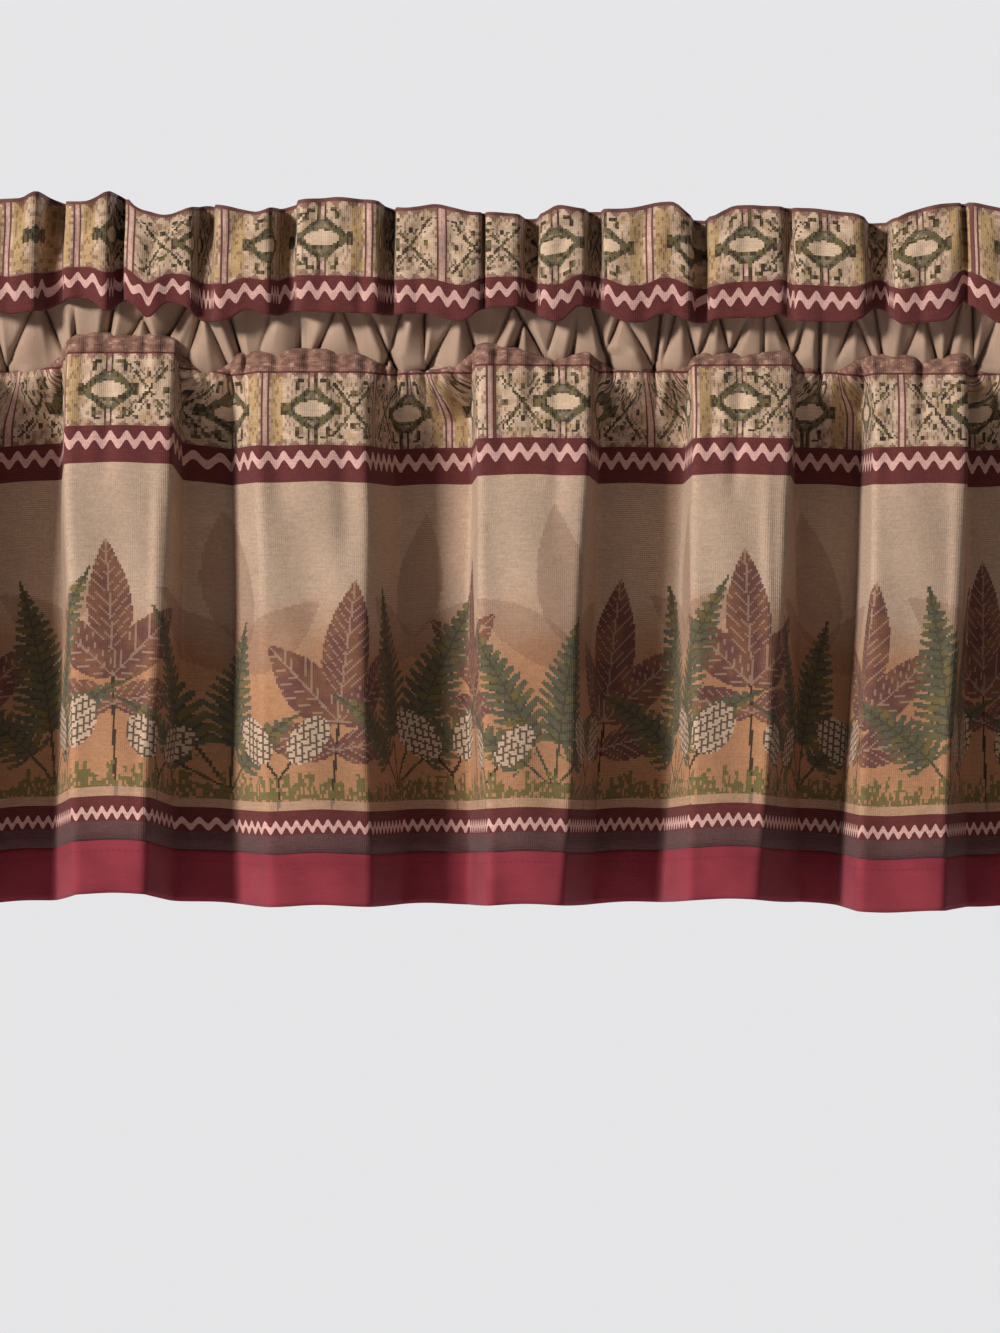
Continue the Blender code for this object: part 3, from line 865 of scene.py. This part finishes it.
def ornament(weave, colours, u, v, centre):
    """The geometric band: stepped lozenges, crossings and double bars on a mottled ground."""
    side = abs(from_repeat(u, 0.0, ORNAMENT_REPEAT))
    bar = abs(side - ORNAMENT_REPEAT / 2.0)
    down = abs(v - centre)
    mottle = weave.noise(u / 7.0, v / 7.0, 3.0)
    flecks = weave.speckle(u.stepped(CHART_SQUARE), v.stepped(2.0 * CHART_SQUARE))
    ink = weave.blend(colours.dark, colours.olive, flecks.above(0.55) * 0.75)
    colour = weave.blend(colours.cream, colours.tan, mottle.eased(0.34, 0.58))
    colour = weave.blend(colour, colours.gold, mottle.eased(0.52, 0.72) * 0.6)
    beside_bar = bar.within(3.4, 11.0) * down.below(19.4)
    colour = weave.blend(colour, colours.gold, beside_bar * 0.75)
    colour = weave.blend(colour, colours.plum, flecks.above(0.80) * 0.55)
    colour = crossing(weave, colours, colour, ink, flecks, abs(side - CROSSING_PLACE), down)
    colour = lozenge(weave, colours, colour, ink, flecks, abs(side - LOZENGE_PLACE), down)
    edge = abs(from_repeat(u, 3.8, ORNAMENT_REPEAT / BAND_STEPS)) * 0.9 + (BAND_HALF_HEIGHT - down)
    colour = weave.blend(colour, colours.plum, edge.below(2.8) * 0.7)
    bar_edges = bar.within(1.0, 2.3).either(side.within(FINE_LINE, 2.0 * FINE_LINE))
    colour = weave.blend(colour, colours.plum, bar_edges)
    return weave.blend(colour, colours.pink, bar.below(1.0).either(side.below(FINE_LINE)) * 0.6)


def crossing(weave, colours, colour, ink, flecks, across, down):
    """A cross with outlined arms and dots between them."""
    dots = abs(across - 7.0).below(FINE_LINE) * abs(down - 15.6).below(FINE_LINE)
    dots = dots.either(across.below(FINE_LINE) * abs(down - 9.0).below(BROAD_LINE))
    dots = dots.either(abs(across - 9.6).below(FINE_LINE) * down.below(BROAD_LINE))
    colour = weave.blend(colour, ink, dots)
    arms = abs(across * CROSSING_SLOPE - down)
    strokes = arms.below(BROAD_LINE) * down.below(CROSSING_HEIGHT)
    colour = weave.blend(colour, ink, strokes * flecks.above(0.14))
    outlines = abs(arms - 4.4).below(0.8) * down.within(6.0, 16.0)
    return weave.blend(colour, colours.green, outlines * flecks.above(0.3))


def lozenge(weave, colours, colour, ink, flecks, across, down):
    """A lozenge with a pale eye, a bar above and below it, and hooks beside the bars."""
    reach = across / LOZENGE_HALF_WIDTH + down / LOZENGE_HALF_HEIGHT
    tint = flecks.below(0.6) * 0.45 + 0.35
    colour = weave.blend(colour, colours.green, reach.below(0.97) * tint)
    colour = weave.blend(colour, colours.green, reach.within(0.68, 0.98))
    colour = weave.blend(colour, ink, reach.within(0.76, 0.93) * flecks.above(0.22))
    colour = weave.blend(colour, ink, abs(across - 15.6).below(BROAD_LINE) * down.below(3.6))
    eye = (across / EYE_HALF_WIDTH) ** 2.0 + (down / EYE_HALF_HEIGHT) ** 2.0
    colour = weave.blend(colour, ink, eye.below(1.9) * flecks.above(0.3))
    colour = weave.blend(colour, colours.cream, eye.below(1.0))
    colour = weave.blend(colour, ink, across.within(1.1, 2.6) * down.above(10.0))
    colour = weave.blend(colour, colours.pink, across.below(1.1) * down.above(11.0) * 0.6)
    hooks = abs(across - 8.6).below(1.2) * down.within(10.5, 16.0)
    hooks = hooks.either(across.within(4.6, 8.6) * abs(down - 16.4).below(1.1))
    return weave.blend(colour, ink, hooks)


def turned(across, up, degrees):
    """Lengths along a stem that is turned from upright, and aside from it."""
    sine, cosine = math.sin(math.radians(degrees)), math.cos(math.radians(degrees))
    return across * sine + up * cosine, across * cosine - up * sine


LEAFLET_PITCH = 5.6
VEIN_PITCH = 6.0
SCALE_PITCH = 6.9


def frond(across, up, degrees, length):
    """Where a fern's arching frond lies, and where it is in shadow, from its foot."""
    along, aside = turned(across, up, degrees)
    share = (along / length).clamped()
    aside = abs(aside - share * share * (degrees * 0.0052 * length))
    reach = (share**0.7 * math.pi).sine().clamped() * (length * 0.15) + 0.05
    tip = abs(((along - aside * 0.55) / LEAFLET_PITCH).fraction() - 0.5) * 2.0
    leaflets = (tip + aside / reach * 0.85).below(1.28) * aside.below(reach)
    stem = aside.below(0.8) * share.within(0.001, 0.999)
    shadow = tip.above(0.72).either(aside.below(0.6))
    return (leaflets * share.within(0.26, 0.999)).either(stem), shadow


def leaf(across, up, degrees, length, width):
    """Where a pointed leaf lies, from its base, and where its ribs are."""
    along, aside = turned(across, up, degrees)
    along, aside = along / length, abs(aside)
    inner = along.clamped()
    outline = aside.below(inner**0.6 * (1.0 - inner) * (width * 1.02))
    veins = ((along * length - aside * 1.2) / VEIN_PITCH).fraction().below(0.16)
    return outline, outline * aside.below(0.55).either(veins)


def seed_head(along, aside, length):
    """Where a scaly seed head stands on its stem, and where its scales' edges are."""
    share = (along / length - 0.5) * 2.0
    inside = (share * share + (aside / (length * 0.33)) ** 2.0).below(1.0)
    rising = abs(((along + aside * 1.5) / SCALE_PITCH).fraction() - 0.5)
    falling = abs(((along - aside * 1.5) / SCALE_PITCH).fraction() - 0.5)
    return inside, inside * rising.below(0.13).either(falling.below(0.13))


# The foliage border, in millimetres. A plant grows alike to both sides of its stem, which leans.
Plant = namedtuple("Plant", "centre foot lean size")
PALE_PLANTS = (Plant(40.0, 90.0, 0.10, 1.0), Plant(181.0, 82.0, -0.16, 1.12))
LEAFY_PLANTS = (Plant(98.0, 44.0, -0.07, 1.0), Plant(238.0, 26.0, 0.12, 1.08))
FERNS = (Plant(27.0, 12.0, 0.14, 124.0), Plant(168.0, 10.0, -0.18, 104.0))
HEADS = (
    Plant(64.0, 14.0, -0.15, 33.0),
    Plant(128.0, 8.0, 0.10, 27.0),
    Plant(206.0, 12.0, 0.05, 30.0),
)
HEAD_TURN = 36.0  # degrees from upright at which a seed head's own stem leaves its plant
HEAD_STEM = 12.0  # length of that stem
# A leaf: how far up its plant it grows, its turn from upright in degrees, its length and its width
Leaf = namedtuple("Leaf", "up degrees length width")
PALE_LEAVES = (Leaf(0.0, 56.0, 60.0, 35.0), Leaf(10.0, 0.0, 72.0, 40.0))
LEAVES = (
    Leaf(8.0, 76.0, 46.0, 28.0),
    Leaf(24.0, 45.0, 60.0, 34.0),
    Leaf(38.0, 0.0, 64.0, 36.0),
)
# A fern's fronds to each side: their turns from upright, and their lengths as shares
FERN_FAN = ((14.0, 1.0), (41.0, 0.72))


def foliage(weave, colours, u, v):
    """The foliage border: ferns, broad leaves and seed heads over grass, on a shaded ground."""

    h = STRIPE["lower_line"] - v

    def from_stem(plant):
        up = h - plant.foot
        return abs(from_repeat(u - up * plant.lean, plant.centre, FOLIAGE_REPEAT)), up

    def grown_leaf(plant, one, across, up):
        length, width = one.length * plant.size, one.width * plant.size
        return leaf(across, up - one.up, one.degrees, length, width)

    haze = weave.noise(u / 60.0, v / 34.0, 2.0)
    colour = weave.blend(colours.ground, colours.tan, (h + haze * 50.0).eased(95.0, 150.0))
    for plant in PALE_PLANTS:
        across, up = from_stem(plant)
        for one in PALE_LEAVES:
            outline, _ = grown_leaf(plant, one, across, up)
            colour = weave.blend(colour, colours.russet, outline * 0.36)
    shading = weave.noise(u / 16.0, v / 16.0).eased(0.4, 0.6)
    russet = weave.blend(colours.russet, colours.plum, shading)
    for plant in LEAFY_PLANTS:
        across, up = from_stem(plant)
        colour = weave.blend(colour, colours.dark, across.below(0.9) * up.below(40.0))
        for one in LEAVES:
            outline, veins = grown_leaf(plant, one, across, up)
            colour = weave.blend(colour, russet, outline)
            colour = weave.blend(colour, colours.tan, veins * 0.45)
    lightening = weave.noise(u / 9.0, v / 9.0).eased(0.45, 0.7)
    green = weave.blend(colours.green, colours.olive, lightening)
    for plant in FERNS:
        across, up = from_stem(plant)
        for degrees, share in FERN_FAN:
            where, shadow = frond(across, up, degrees, plant.size * share)
            shaded = weave.blend(green, colours.dark, shadow * 0.55)
            colour = weave.blend(colour, shaded, where)
    for plant in HEADS:
        across, up = from_stem(plant)
        along, apart = turned(across, up - 6.0, HEAD_TURN)
        inside, edges = seed_head(along - HEAD_STEM, apart, plant.size)
        stem = abs(apart).below(0.8) * along.within(0.0, HEAD_STEM + 1.0)
        colour = weave.blend(colour, colours.dark, stem)
        colour = weave.blend(colour, colours.dark, across.below(0.8) * up.below(6.0))
        colour = weave.blend(colour, weave.blend(colours.cream, colours.tan, 0.5), inside)
        colour = weave.blend(colour, colours.dark, edges * 0.85)
    blades = weave.speckle(u.stepped(2.0 * CHART_SQUARE), u * 0.0) * 13.0 + 9.0
    grass = h.below(blades) * h.above(5.0)
    flecks = weave.speckle(u.stepped(CHART_SQUARE), v.stepped(2.0 * CHART_SQUARE))
    colour = weave.blend(colour, colours.olive, grass * flecks.above(0.25))
    colour = weave.blend(colour, colours.tan, h.below(5.0) * 0.45)
    return colour


def woven_look(weave, colours, colour, sizes, reverse):
    """Threads over a pattern's colours: weft streaks, mottling, ribs and a dull finish."""
    cell = sizes.thread_pitch * 1000.0
    streaks = weave.noise(weave.u / 11.0, weave.v / 1.1, 2.0)
    clouds = weave.noise(weave.u / 45.0, weave.v / 45.0, 2.0)
    specks = weave.speckle(weave.u.stepped(cell), weave.v.stepped(cell))
    tone = streaks * 0.30 + clouds * 0.22 + specks * 0.16 + 0.66
    if reverse:
        colour = weave.blend(colour, colours.reverse, streaks.eased(0.2, 0.6) * 0.3 + 0.45)
    colour = weave.shade(colour, tone)
    weft = (weave.v * (math.tau / cell)).sine()
    warp = (weave.u * (math.tau / cell)).sine()
    height = weft * 0.30 + warp * 0.22 + streaks * 1.4 + specks * 0.5
    roughness = 0.96 - streaks * 0.16
    return weave.finish(colour, roughness, height, 0.00028, 0.06)


def panel_cloth(colours, sizes, reverse=False):
    """The panel's material: its strip, geometric band, zigzags and foliage, or their wrong side."""
    weave = Weave("tapestry_reverse" if reverse else "tapestry")
    cell = sizes.thread_pitch * 1000.0
    u, v = weave.u.stepped(cell), weave.v.stepped(cell)
    tufts = weave.noise(u / 5.0, v / 3.0, 3.0)
    colour = weave.blend(colours.heather, colours.plum, tufts.eased(0.42, 0.62) * 0.75)
    colour = weave.blend(colour, colours.pink, tufts.below(0.34) * 0.4)
    line = v.within(STRIPE["ornament"] - FINE_LINE, STRIPE["ornament"])
    colour = weave.blend(colour, colours.maroon, line)
    centre = 0.5 * (STRIPE["ornament"] + STRIPE["upper_line"])
    band = ornament(weave, colours, u + sizes.ornament_shift * 1000.0, v, centre)
    colour = weave.blend(colour, band, v.above(STRIPE["ornament"]))
    colour = weave.blend(colour, colours.maroon, weave.v.above(STRIPE["upper_line"]))
    height = STRIPE["upper_border"] - STRIPE["upper_teeth"]
    teeth = toothed(weave.u, weave.v, STRIPE["upper_teeth"], sizes.tooth_pitch * 1000.0, height)
    colour = weave.blend(colour, colours.pink, teeth)
    leaves = foliage(weave, colours, u + sizes.foliage_shift * 1000.0, v)
    colour = weave.blend(colour, leaves, weave.v.above(STRIPE["foliage"]))
    colour = weave.blend(colour, colours.maroon, weave.v.above(STRIPE["lower_line"]))
    pitch = sizes.lower_tooth_pitch * 1000.0
    height = STRIPE["grey_border"] - STRIPE["lower_teeth"]
    teeth = toothed(weave.u, weave.v, STRIPE["lower_teeth"], pitch, height)
    colour = weave.blend(colour, colours.pink, teeth)
    colour = weave.blend(colour, colours.grey_brown, weave.v.above(STRIPE["grey_border"]))
    return woven_look(weave, colours, colour, sizes, reverse)


def heading_cloth(colours, sizes):
    """The heading's material: the geometric band over a zigzag."""
    weave = Weave("heading_tapestry")
    cell = sizes.thread_pitch * 1000.0
    u, v = weave.u.stepped(cell), weave.v.stepped(cell)
    centre = 0.5 * (HEAD_STRIPE["ornament"] + HEAD_STRIPE["line"])
    band = ornament(weave, colours, u + sizes.heading_shift * 1000.0, v, centre)
    colour = weave.blend(colours.plum, band, v.above(HEAD_STRIPE["ornament"]))
    colour = weave.blend(colour, colours.maroon, weave.v.above(HEAD_STRIPE["line"]))
    height = HEAD_STRIPE["border"] - HEAD_STRIPE["teeth"]
    teeth = toothed(weave.u, weave.v, HEAD_STRIPE["teeth"], sizes.tooth_pitch * 1000.0, height)
    colour = weave.blend(colour, colours.pink, teeth)
    return woven_look(weave, colours, colour, sizes, False)


def pocket_material(colours):
    """The rod pocket's material: a slightly satin taupe cloth."""
    weave = Weave("taupe_satin")
    clouds = weave.noise(weave.u / 26.0, weave.v / 20.0, 3.0)
    threads = weave.noise(weave.u / 0.7, weave.v / 9.0, 1.0)
    colour = weave.blend(colours.taupe, colours.taupe_deep, clouds.eased(0.35, 0.75) * 0.6)
    colour = weave.shade(colour, threads * 0.16 + 0.92)
    height = threads + (weave.u * (math.tau / 0.8)).sine() * 0.3 + clouds * 2.0
    return weave.finish(colour, threads * 0.12 + 0.40, height, 0.00012, 0.2)


def band_material(colours):
    """The hem band's material: a plain burgundy cloth with its hem's stitches."""
    weave = Weave("burgundy_cloth")
    clouds = weave.noise(weave.u / 30.0, weave.v / 18.0, 3.0)
    slubs = weave.noise(weave.u / 9.0, weave.v / 0.9, 2.0)
    around = math.tau / 0.9  # a whole turn for each thread
    threads = (weave.u * around).sine() * (weave.v * around).sine()
    colour = weave.blend(colours.burgundy, colours.burgundy_deep, clouds.eased(0.35, 0.75) * 0.5)
    colour = weave.shade(colour, slubs * 0.22 + 0.89)
    edge = weave.v - (PANEL_LENGTH + BAND_LENGTH) * 1000.0
    stitches = abs(edge + HEM_HEIGHT).below(0.5) * (weave.u / STITCH_PITCH).fraction().below(0.62)
    colour = weave.blend(colour, colours.burgundy_deep, stitches * 0.5)
    height = threads * 0.4 + slubs + clouds * 1.5 - stitches * 2.0
    return weave.finish(colour, slubs * 0.14 + 0.78, height, 0.00022, 0.05)


# ---- What a user would change


def colour_property(name, description, default):
    return FloatVectorProperty(
        name=name,
        description=description,
        subtype="COLOR",
        size=3,
        min=0.0,
        max=1.0,
        default=default,
    )


def length_property(name, description, default):
    return FloatProperty(name=name, description=description, default=default, unit="LENGTH")


class ValanceColours(bpy.types.PropertyGroup):
    """Linear colours of the yarns and of the plain cloths."""

    cream: colour_property("Cream", "Lightest yarn of the geometric band", (0.60, 0.42, 0.29))
    tan: colour_property("Tan", "Pale ground of the bands", (0.47, 0.325, 0.230))
    ground: colour_property("Ground", "Orange-tan ground of the foliage", (0.42, 0.205, 0.105))
    gold: colour_property("Gold", "Panels beside the double bars", (0.40, 0.25, 0.10))
    green: colour_property("Green", "Fronds and lozenges", (0.112, 0.100, 0.062))
    olive: colour_property("Olive", "Grass and the lighter leaflets", (0.165, 0.125, 0.048))
    russet: colour_property("Russet", "Broad leaves", (0.200, 0.088, 0.052))
    plum: colour_property("Plum", "Bars, teeth and leaf shading", (0.150, 0.062, 0.050))
    dark: colour_property("Dark brown", "Outlines and stems", (0.060, 0.038, 0.024))
    heather: colour_property("Heather", "Strip above the geometric band", (0.275, 0.150, 0.108))
    maroon: colour_property("Maroon", "Lines beside the zigzags", (0.125, 0.030, 0.028))
    pink: colour_property("Pink", "Zigzag teeth", (0.62, 0.36, 0.31))
    grey_brown: colour_property("Grey-brown", "Border above the hem", (0.110, 0.052, 0.050))
    reverse: colour_property("Reverse", "Floats on the cloth's wrong side", (0.20, 0.12, 0.075))
    taupe: colour_property("Taupe", "Rod pocket", (0.385, 0.255, 0.180))
    taupe_deep: colour_property("Deep taupe", "Rod pocket's clouds", (0.310, 0.195, 0.132))
    burgundy: colour_property("Burgundy", "Hem band", (0.270, 0.036, 0.050))
    burgundy_deep: colour_property("Deep burgundy", "Hem band's clouds", (0.190, 0.022, 0.034))


class ValanceSizes(bpy.types.PropertyGroup):
    """Sizes of the cloth, its creases and its weave."""

    cloth: length_property("Cloth", "Thickness of the tapestry and of the hem band", 0.0014)
    doubled_cloth: length_property("Doubled cloth", "Thickness of the heading's two layers", 0.0019)
    satin: length_property("Satin", "Thickness of the rod pocket's cloth", 0.0009)
    pucker_depth: length_property("Pucker depth", "Depth of the rod pocket's tight creases", 0.0070)
    gather_depth: length_property("Gather depth", "Depth of the gathers at the seam", 0.0065)
    crease_strength: FloatProperty(
        name="Crease strength",
        description="How strongly the creases show in the folds",
        default=1.0,
        min=0.0,
        max=3.0,
    )
    thread_pitch: length_property("Chart square", "Size of one square of the woven chart", 0.00115)
    tooth_pitch: length_property("Tooth pitch", "Pitch of the upper zigzags", 0.0091)
    lower_tooth_pitch: length_property("Lower tooth pitch", "Pitch of the lower zigzag", 0.0058)
    ornament_shift: length_property("Band shift", "Moves the panel's geometric band", 0.0)
    heading_shift: length_property("Heading shift", "Moves the heading's geometric band", 0.0)
    foliage_shift: length_property("Foliage shift", "Moves the foliage along the cloth", 0.0)


# ---- Pieces


class VALANCE_OT_heading(bpy.types.Operator):
    """Adds the gathered heading above the rod pocket"""

    bl_idname = "valance.heading"
    bl_label = "Heading"

    def execute(self, context):
        sizes = context.scene.valance_sizes
        material = heading_cloth(context.scene.valance_colours, sizes)
        piece = cloth_piece("heading_cloth", standing_cloth(sizes), sizes.doubled_cloth, [material])
        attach(piece, "root")
        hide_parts("heading")
        return {"FINISHED"}


class VALANCE_OT_rod_pocket(bpy.types.Operator):
    """Adds the creased taupe rod pocket"""

    bl_idname = "valance.rod_pocket"
    bl_label = "Rod pocket"

    def execute(self, context):
        sizes = context.scene.valance_sizes
        material = pocket_material(context.scene.valance_colours)
        points = pocket_cloth(sizes)
        piece = cloth_piece("rod_pocket_cloth", points, sizes.satin, [material], closed=True)
        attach(piece, "root")
        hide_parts("rod_pocket")
        return {"FINISHED"}


class VALANCE_OT_main_panel(bpy.types.Operator):
    """Adds the woven panel that hangs in folds"""

    bl_idname = "valance.main_panel"
    bl_label = "Main panel"

    def execute(self, context):
        sizes = context.scene.valance_sizes
        colours = context.scene.valance_colours
        materials = [panel_cloth(colours, sizes), panel_cloth(colours, sizes, reverse=True)]
        points = hanging_cloth(None, PANEL_LENGTH, PANEL_GRID, sizes)
        piece = cloth_piece("main_panel_cloth", points, sizes.cloth, materials)
        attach(piece, "root")
        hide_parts("main_panel")
        return {"FINISHED"}


class VALANCE_OT_hem_band(bpy.types.Operator):
    """Adds the plain burgundy hem band"""

    bl_idname = "valance.hem_band"
    bl_label = "Hem band"

    def execute(self, context):
        sizes = context.scene.valance_sizes
        material = band_material(context.scene.valance_colours)
        top = PANEL_LENGTH - SEAM_LAP
        points = hanging_cloth(top, PANEL_LENGTH + BAND_LENGTH, BAND_GRID, sizes)
        piece = cloth_piece("hem_band_cloth", points, sizes.cloth, [material])
        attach(piece, "root")
        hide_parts("hem_band")
        return {"FINISHED"}


# ---- Stage

FLOOR_Z = -1.7
FLOOR_HALF_SIDE = 3.5
FLOOR_COLOUR = (0.68, 0.68, 0.70, 1.0)
LIT_POINT = (0.0, 0.0, -0.22)
# An area light, which faces the lit point
Light = namedtuple("Light", "name place size watts colour")
LIGHTS = (
    Light("key", (-4.2, -3.8, 1.9), (1.0, 1.0), 440.0, (1.0, 0.985, 0.96)),
    Light("fill", (0.9, -3.0, 0.5), (1.6, 1.6), 1.0, (0.96, 0.98, 1.0)),
    Light("back", (0.6, 2.2, 0.9), (1.6, 1.2), 20.0, (1.0, 1.0, 1.0)),
)
SURROUNDINGS_COLOUR = (0.985, 0.985, 1.0, 1.0)
# How bright the surroundings are, from dim in front of the valance to pale behind it
SURROUNDINGS = {"From Min": -0.20, "From Max": 0.30, "To Min": 0.03, "To Max": 0.80}
CAMERA_PLACE = (0.0, -2.75, -0.2714)
SENSOR_HEIGHT = 36.0
LENS_OF_SENSOR = 4812.0 / 1333.0  # the lens's length as a multiple of the picture's height


def add_light(light):
    data = bpy.data.lights.new(light.name, "AREA")
    data.shape = "RECTANGLE"
    data.size, data.size_y = light.size
    data.energy = light.watts
    data.color = light.colour
    lamp = bpy.data.objects.new(light.name, data)
    bpy.context.collection.objects.link(lamp)
    lamp.location = light.place
    lamp.rotation_euler = (Vector(LIT_POINT) - lamp.location).to_track_quat("-Z", "Y").to_euler()


class VALANCE_OT_stage(bpy.types.Operator):
    """Adds the floor, the studio lights, the pale surroundings and the camera"""

    bl_idname = "valance.stage"
    bl_label = "Stage"

    def execute(self, context):
        mesh = bmesh.new()
        bmesh.ops.create_grid(mesh, x_segments=1, y_segments=1, size=FLOOR_HALF_SIDE)
        bmesh.ops.translate(mesh, verts=mesh.verts, vec=(0.0, 0.0, FLOOR_Z))
        data = bpy.data.meshes.new("floor")
        mesh.to_mesh(data)
        mesh.free()
        floor = bpy.data.objects.new("floor", data)
        context.collection.objects.link(floor)
        paint = bpy.data.materials.new("pale_floor")
        paint.use_nodes = True
        shader = paint.node_tree.nodes["Principled BSDF"]
        shader.inputs["Base Color"].default_value = FLOOR_COLOUR
        shader.inputs["Roughness"].default_value = 0.8
        data.materials.append(paint)

        for light in LIGHTS:
            add_light(light)

        world = bpy.data.worlds.new("pale_studio")
        context.scene.world = world
        world.use_nodes = True
        nodes, links = world.node_tree.nodes, world.node_tree.links
        direction = nodes.new("ShaderNodeTexCoord")
        parts = nodes.new("ShaderNodeSeparateXYZ")
        brightness = nodes.new("ShaderNodeMapRange")
        brightness.interpolation_type = "SMOOTHSTEP"
        for limit, value in SURROUNDINGS.items():
            brightness.inputs[limit].default_value = value
        links.new(direction.outputs["Generated"], parts.inputs[0])
        links.new(parts.outputs["Y"], brightness.inputs["Value"])
        links.new(brightness.outputs["Result"], nodes["Background"].inputs["Strength"])
        nodes["Background"].inputs["Color"].default_value = SURROUNDINGS_COLOUR

        lens = bpy.data.cameras.new("camera")
        lens.sensor_fit = "VERTICAL"
        lens.sensor_height = SENSOR_HEIGHT
        lens.lens = SENSOR_HEIGHT * LENS_OF_SENSOR
        lens.clip_start = 0.05
        camera = bpy.data.objects.new("camera", lens)
        context.collection.objects.link(camera)
        camera.location = CAMERA_PLACE
        camera.rotation_euler = (math.pi / 2.0, 0.0, 0.0)
        context.scene.camera = camera
        context.scene.view_settings.view_transform = "Standard"
        return {"FINISHED"}


class VALANCE_PT_sidebar(bpy.types.Panel):
    """Lists the valance's pieces"""

    bl_label = "Window valance"
    bl_idname = "VALANCE_PT_sidebar"
    bl_space_type = "VIEW_3D"
    bl_region_type = "UI"
    bl_category = "Valance"

    def draw(self, context):
        for operator in OPERATORS:
            self.layout.operator(operator.bl_idname)
        for group in (context.scene.valance_sizes, context.scene.valance_colours):
            column = self.layout.column()
            for name in group.bl_rna.properties.keys():
                if name not in ("rna_type", "name"):
                    column.prop(group, name)


OPERATORS = (
    VALANCE_OT_heading,
    VALANCE_OT_rod_pocket,
    VALANCE_OT_main_panel,
    VALANCE_OT_hem_band,
    VALANCE_OT_stage,
)
CLASSES = (ValanceColours, ValanceSizes, *OPERATORS, VALANCE_PT_sidebar)


def register():
    for cls in CLASSES:
        bpy.utils.register_class(cls)
    bpy.types.Scene.valance_colours = PointerProperty(type=ValanceColours)
    bpy.types.Scene.valance_sizes = PointerProperty(type=ValanceSizes)


def unregister():
    del bpy.types.Scene.valance_colours
    del bpy.types.Scene.valance_sizes
    for cls in reversed(CLASSES):
        bpy.utils.unregister_class(cls)


def main():
    register()
    bpy.ops.valance.heading()
    bpy.ops.valance.rod_pocket()
    bpy.ops.valance.main_panel()
    bpy.ops.valance.hem_band()
    bpy.ops.valance.stage()
    bpy.context.view_layer.update()


if __name__ == "__main__":
    main()
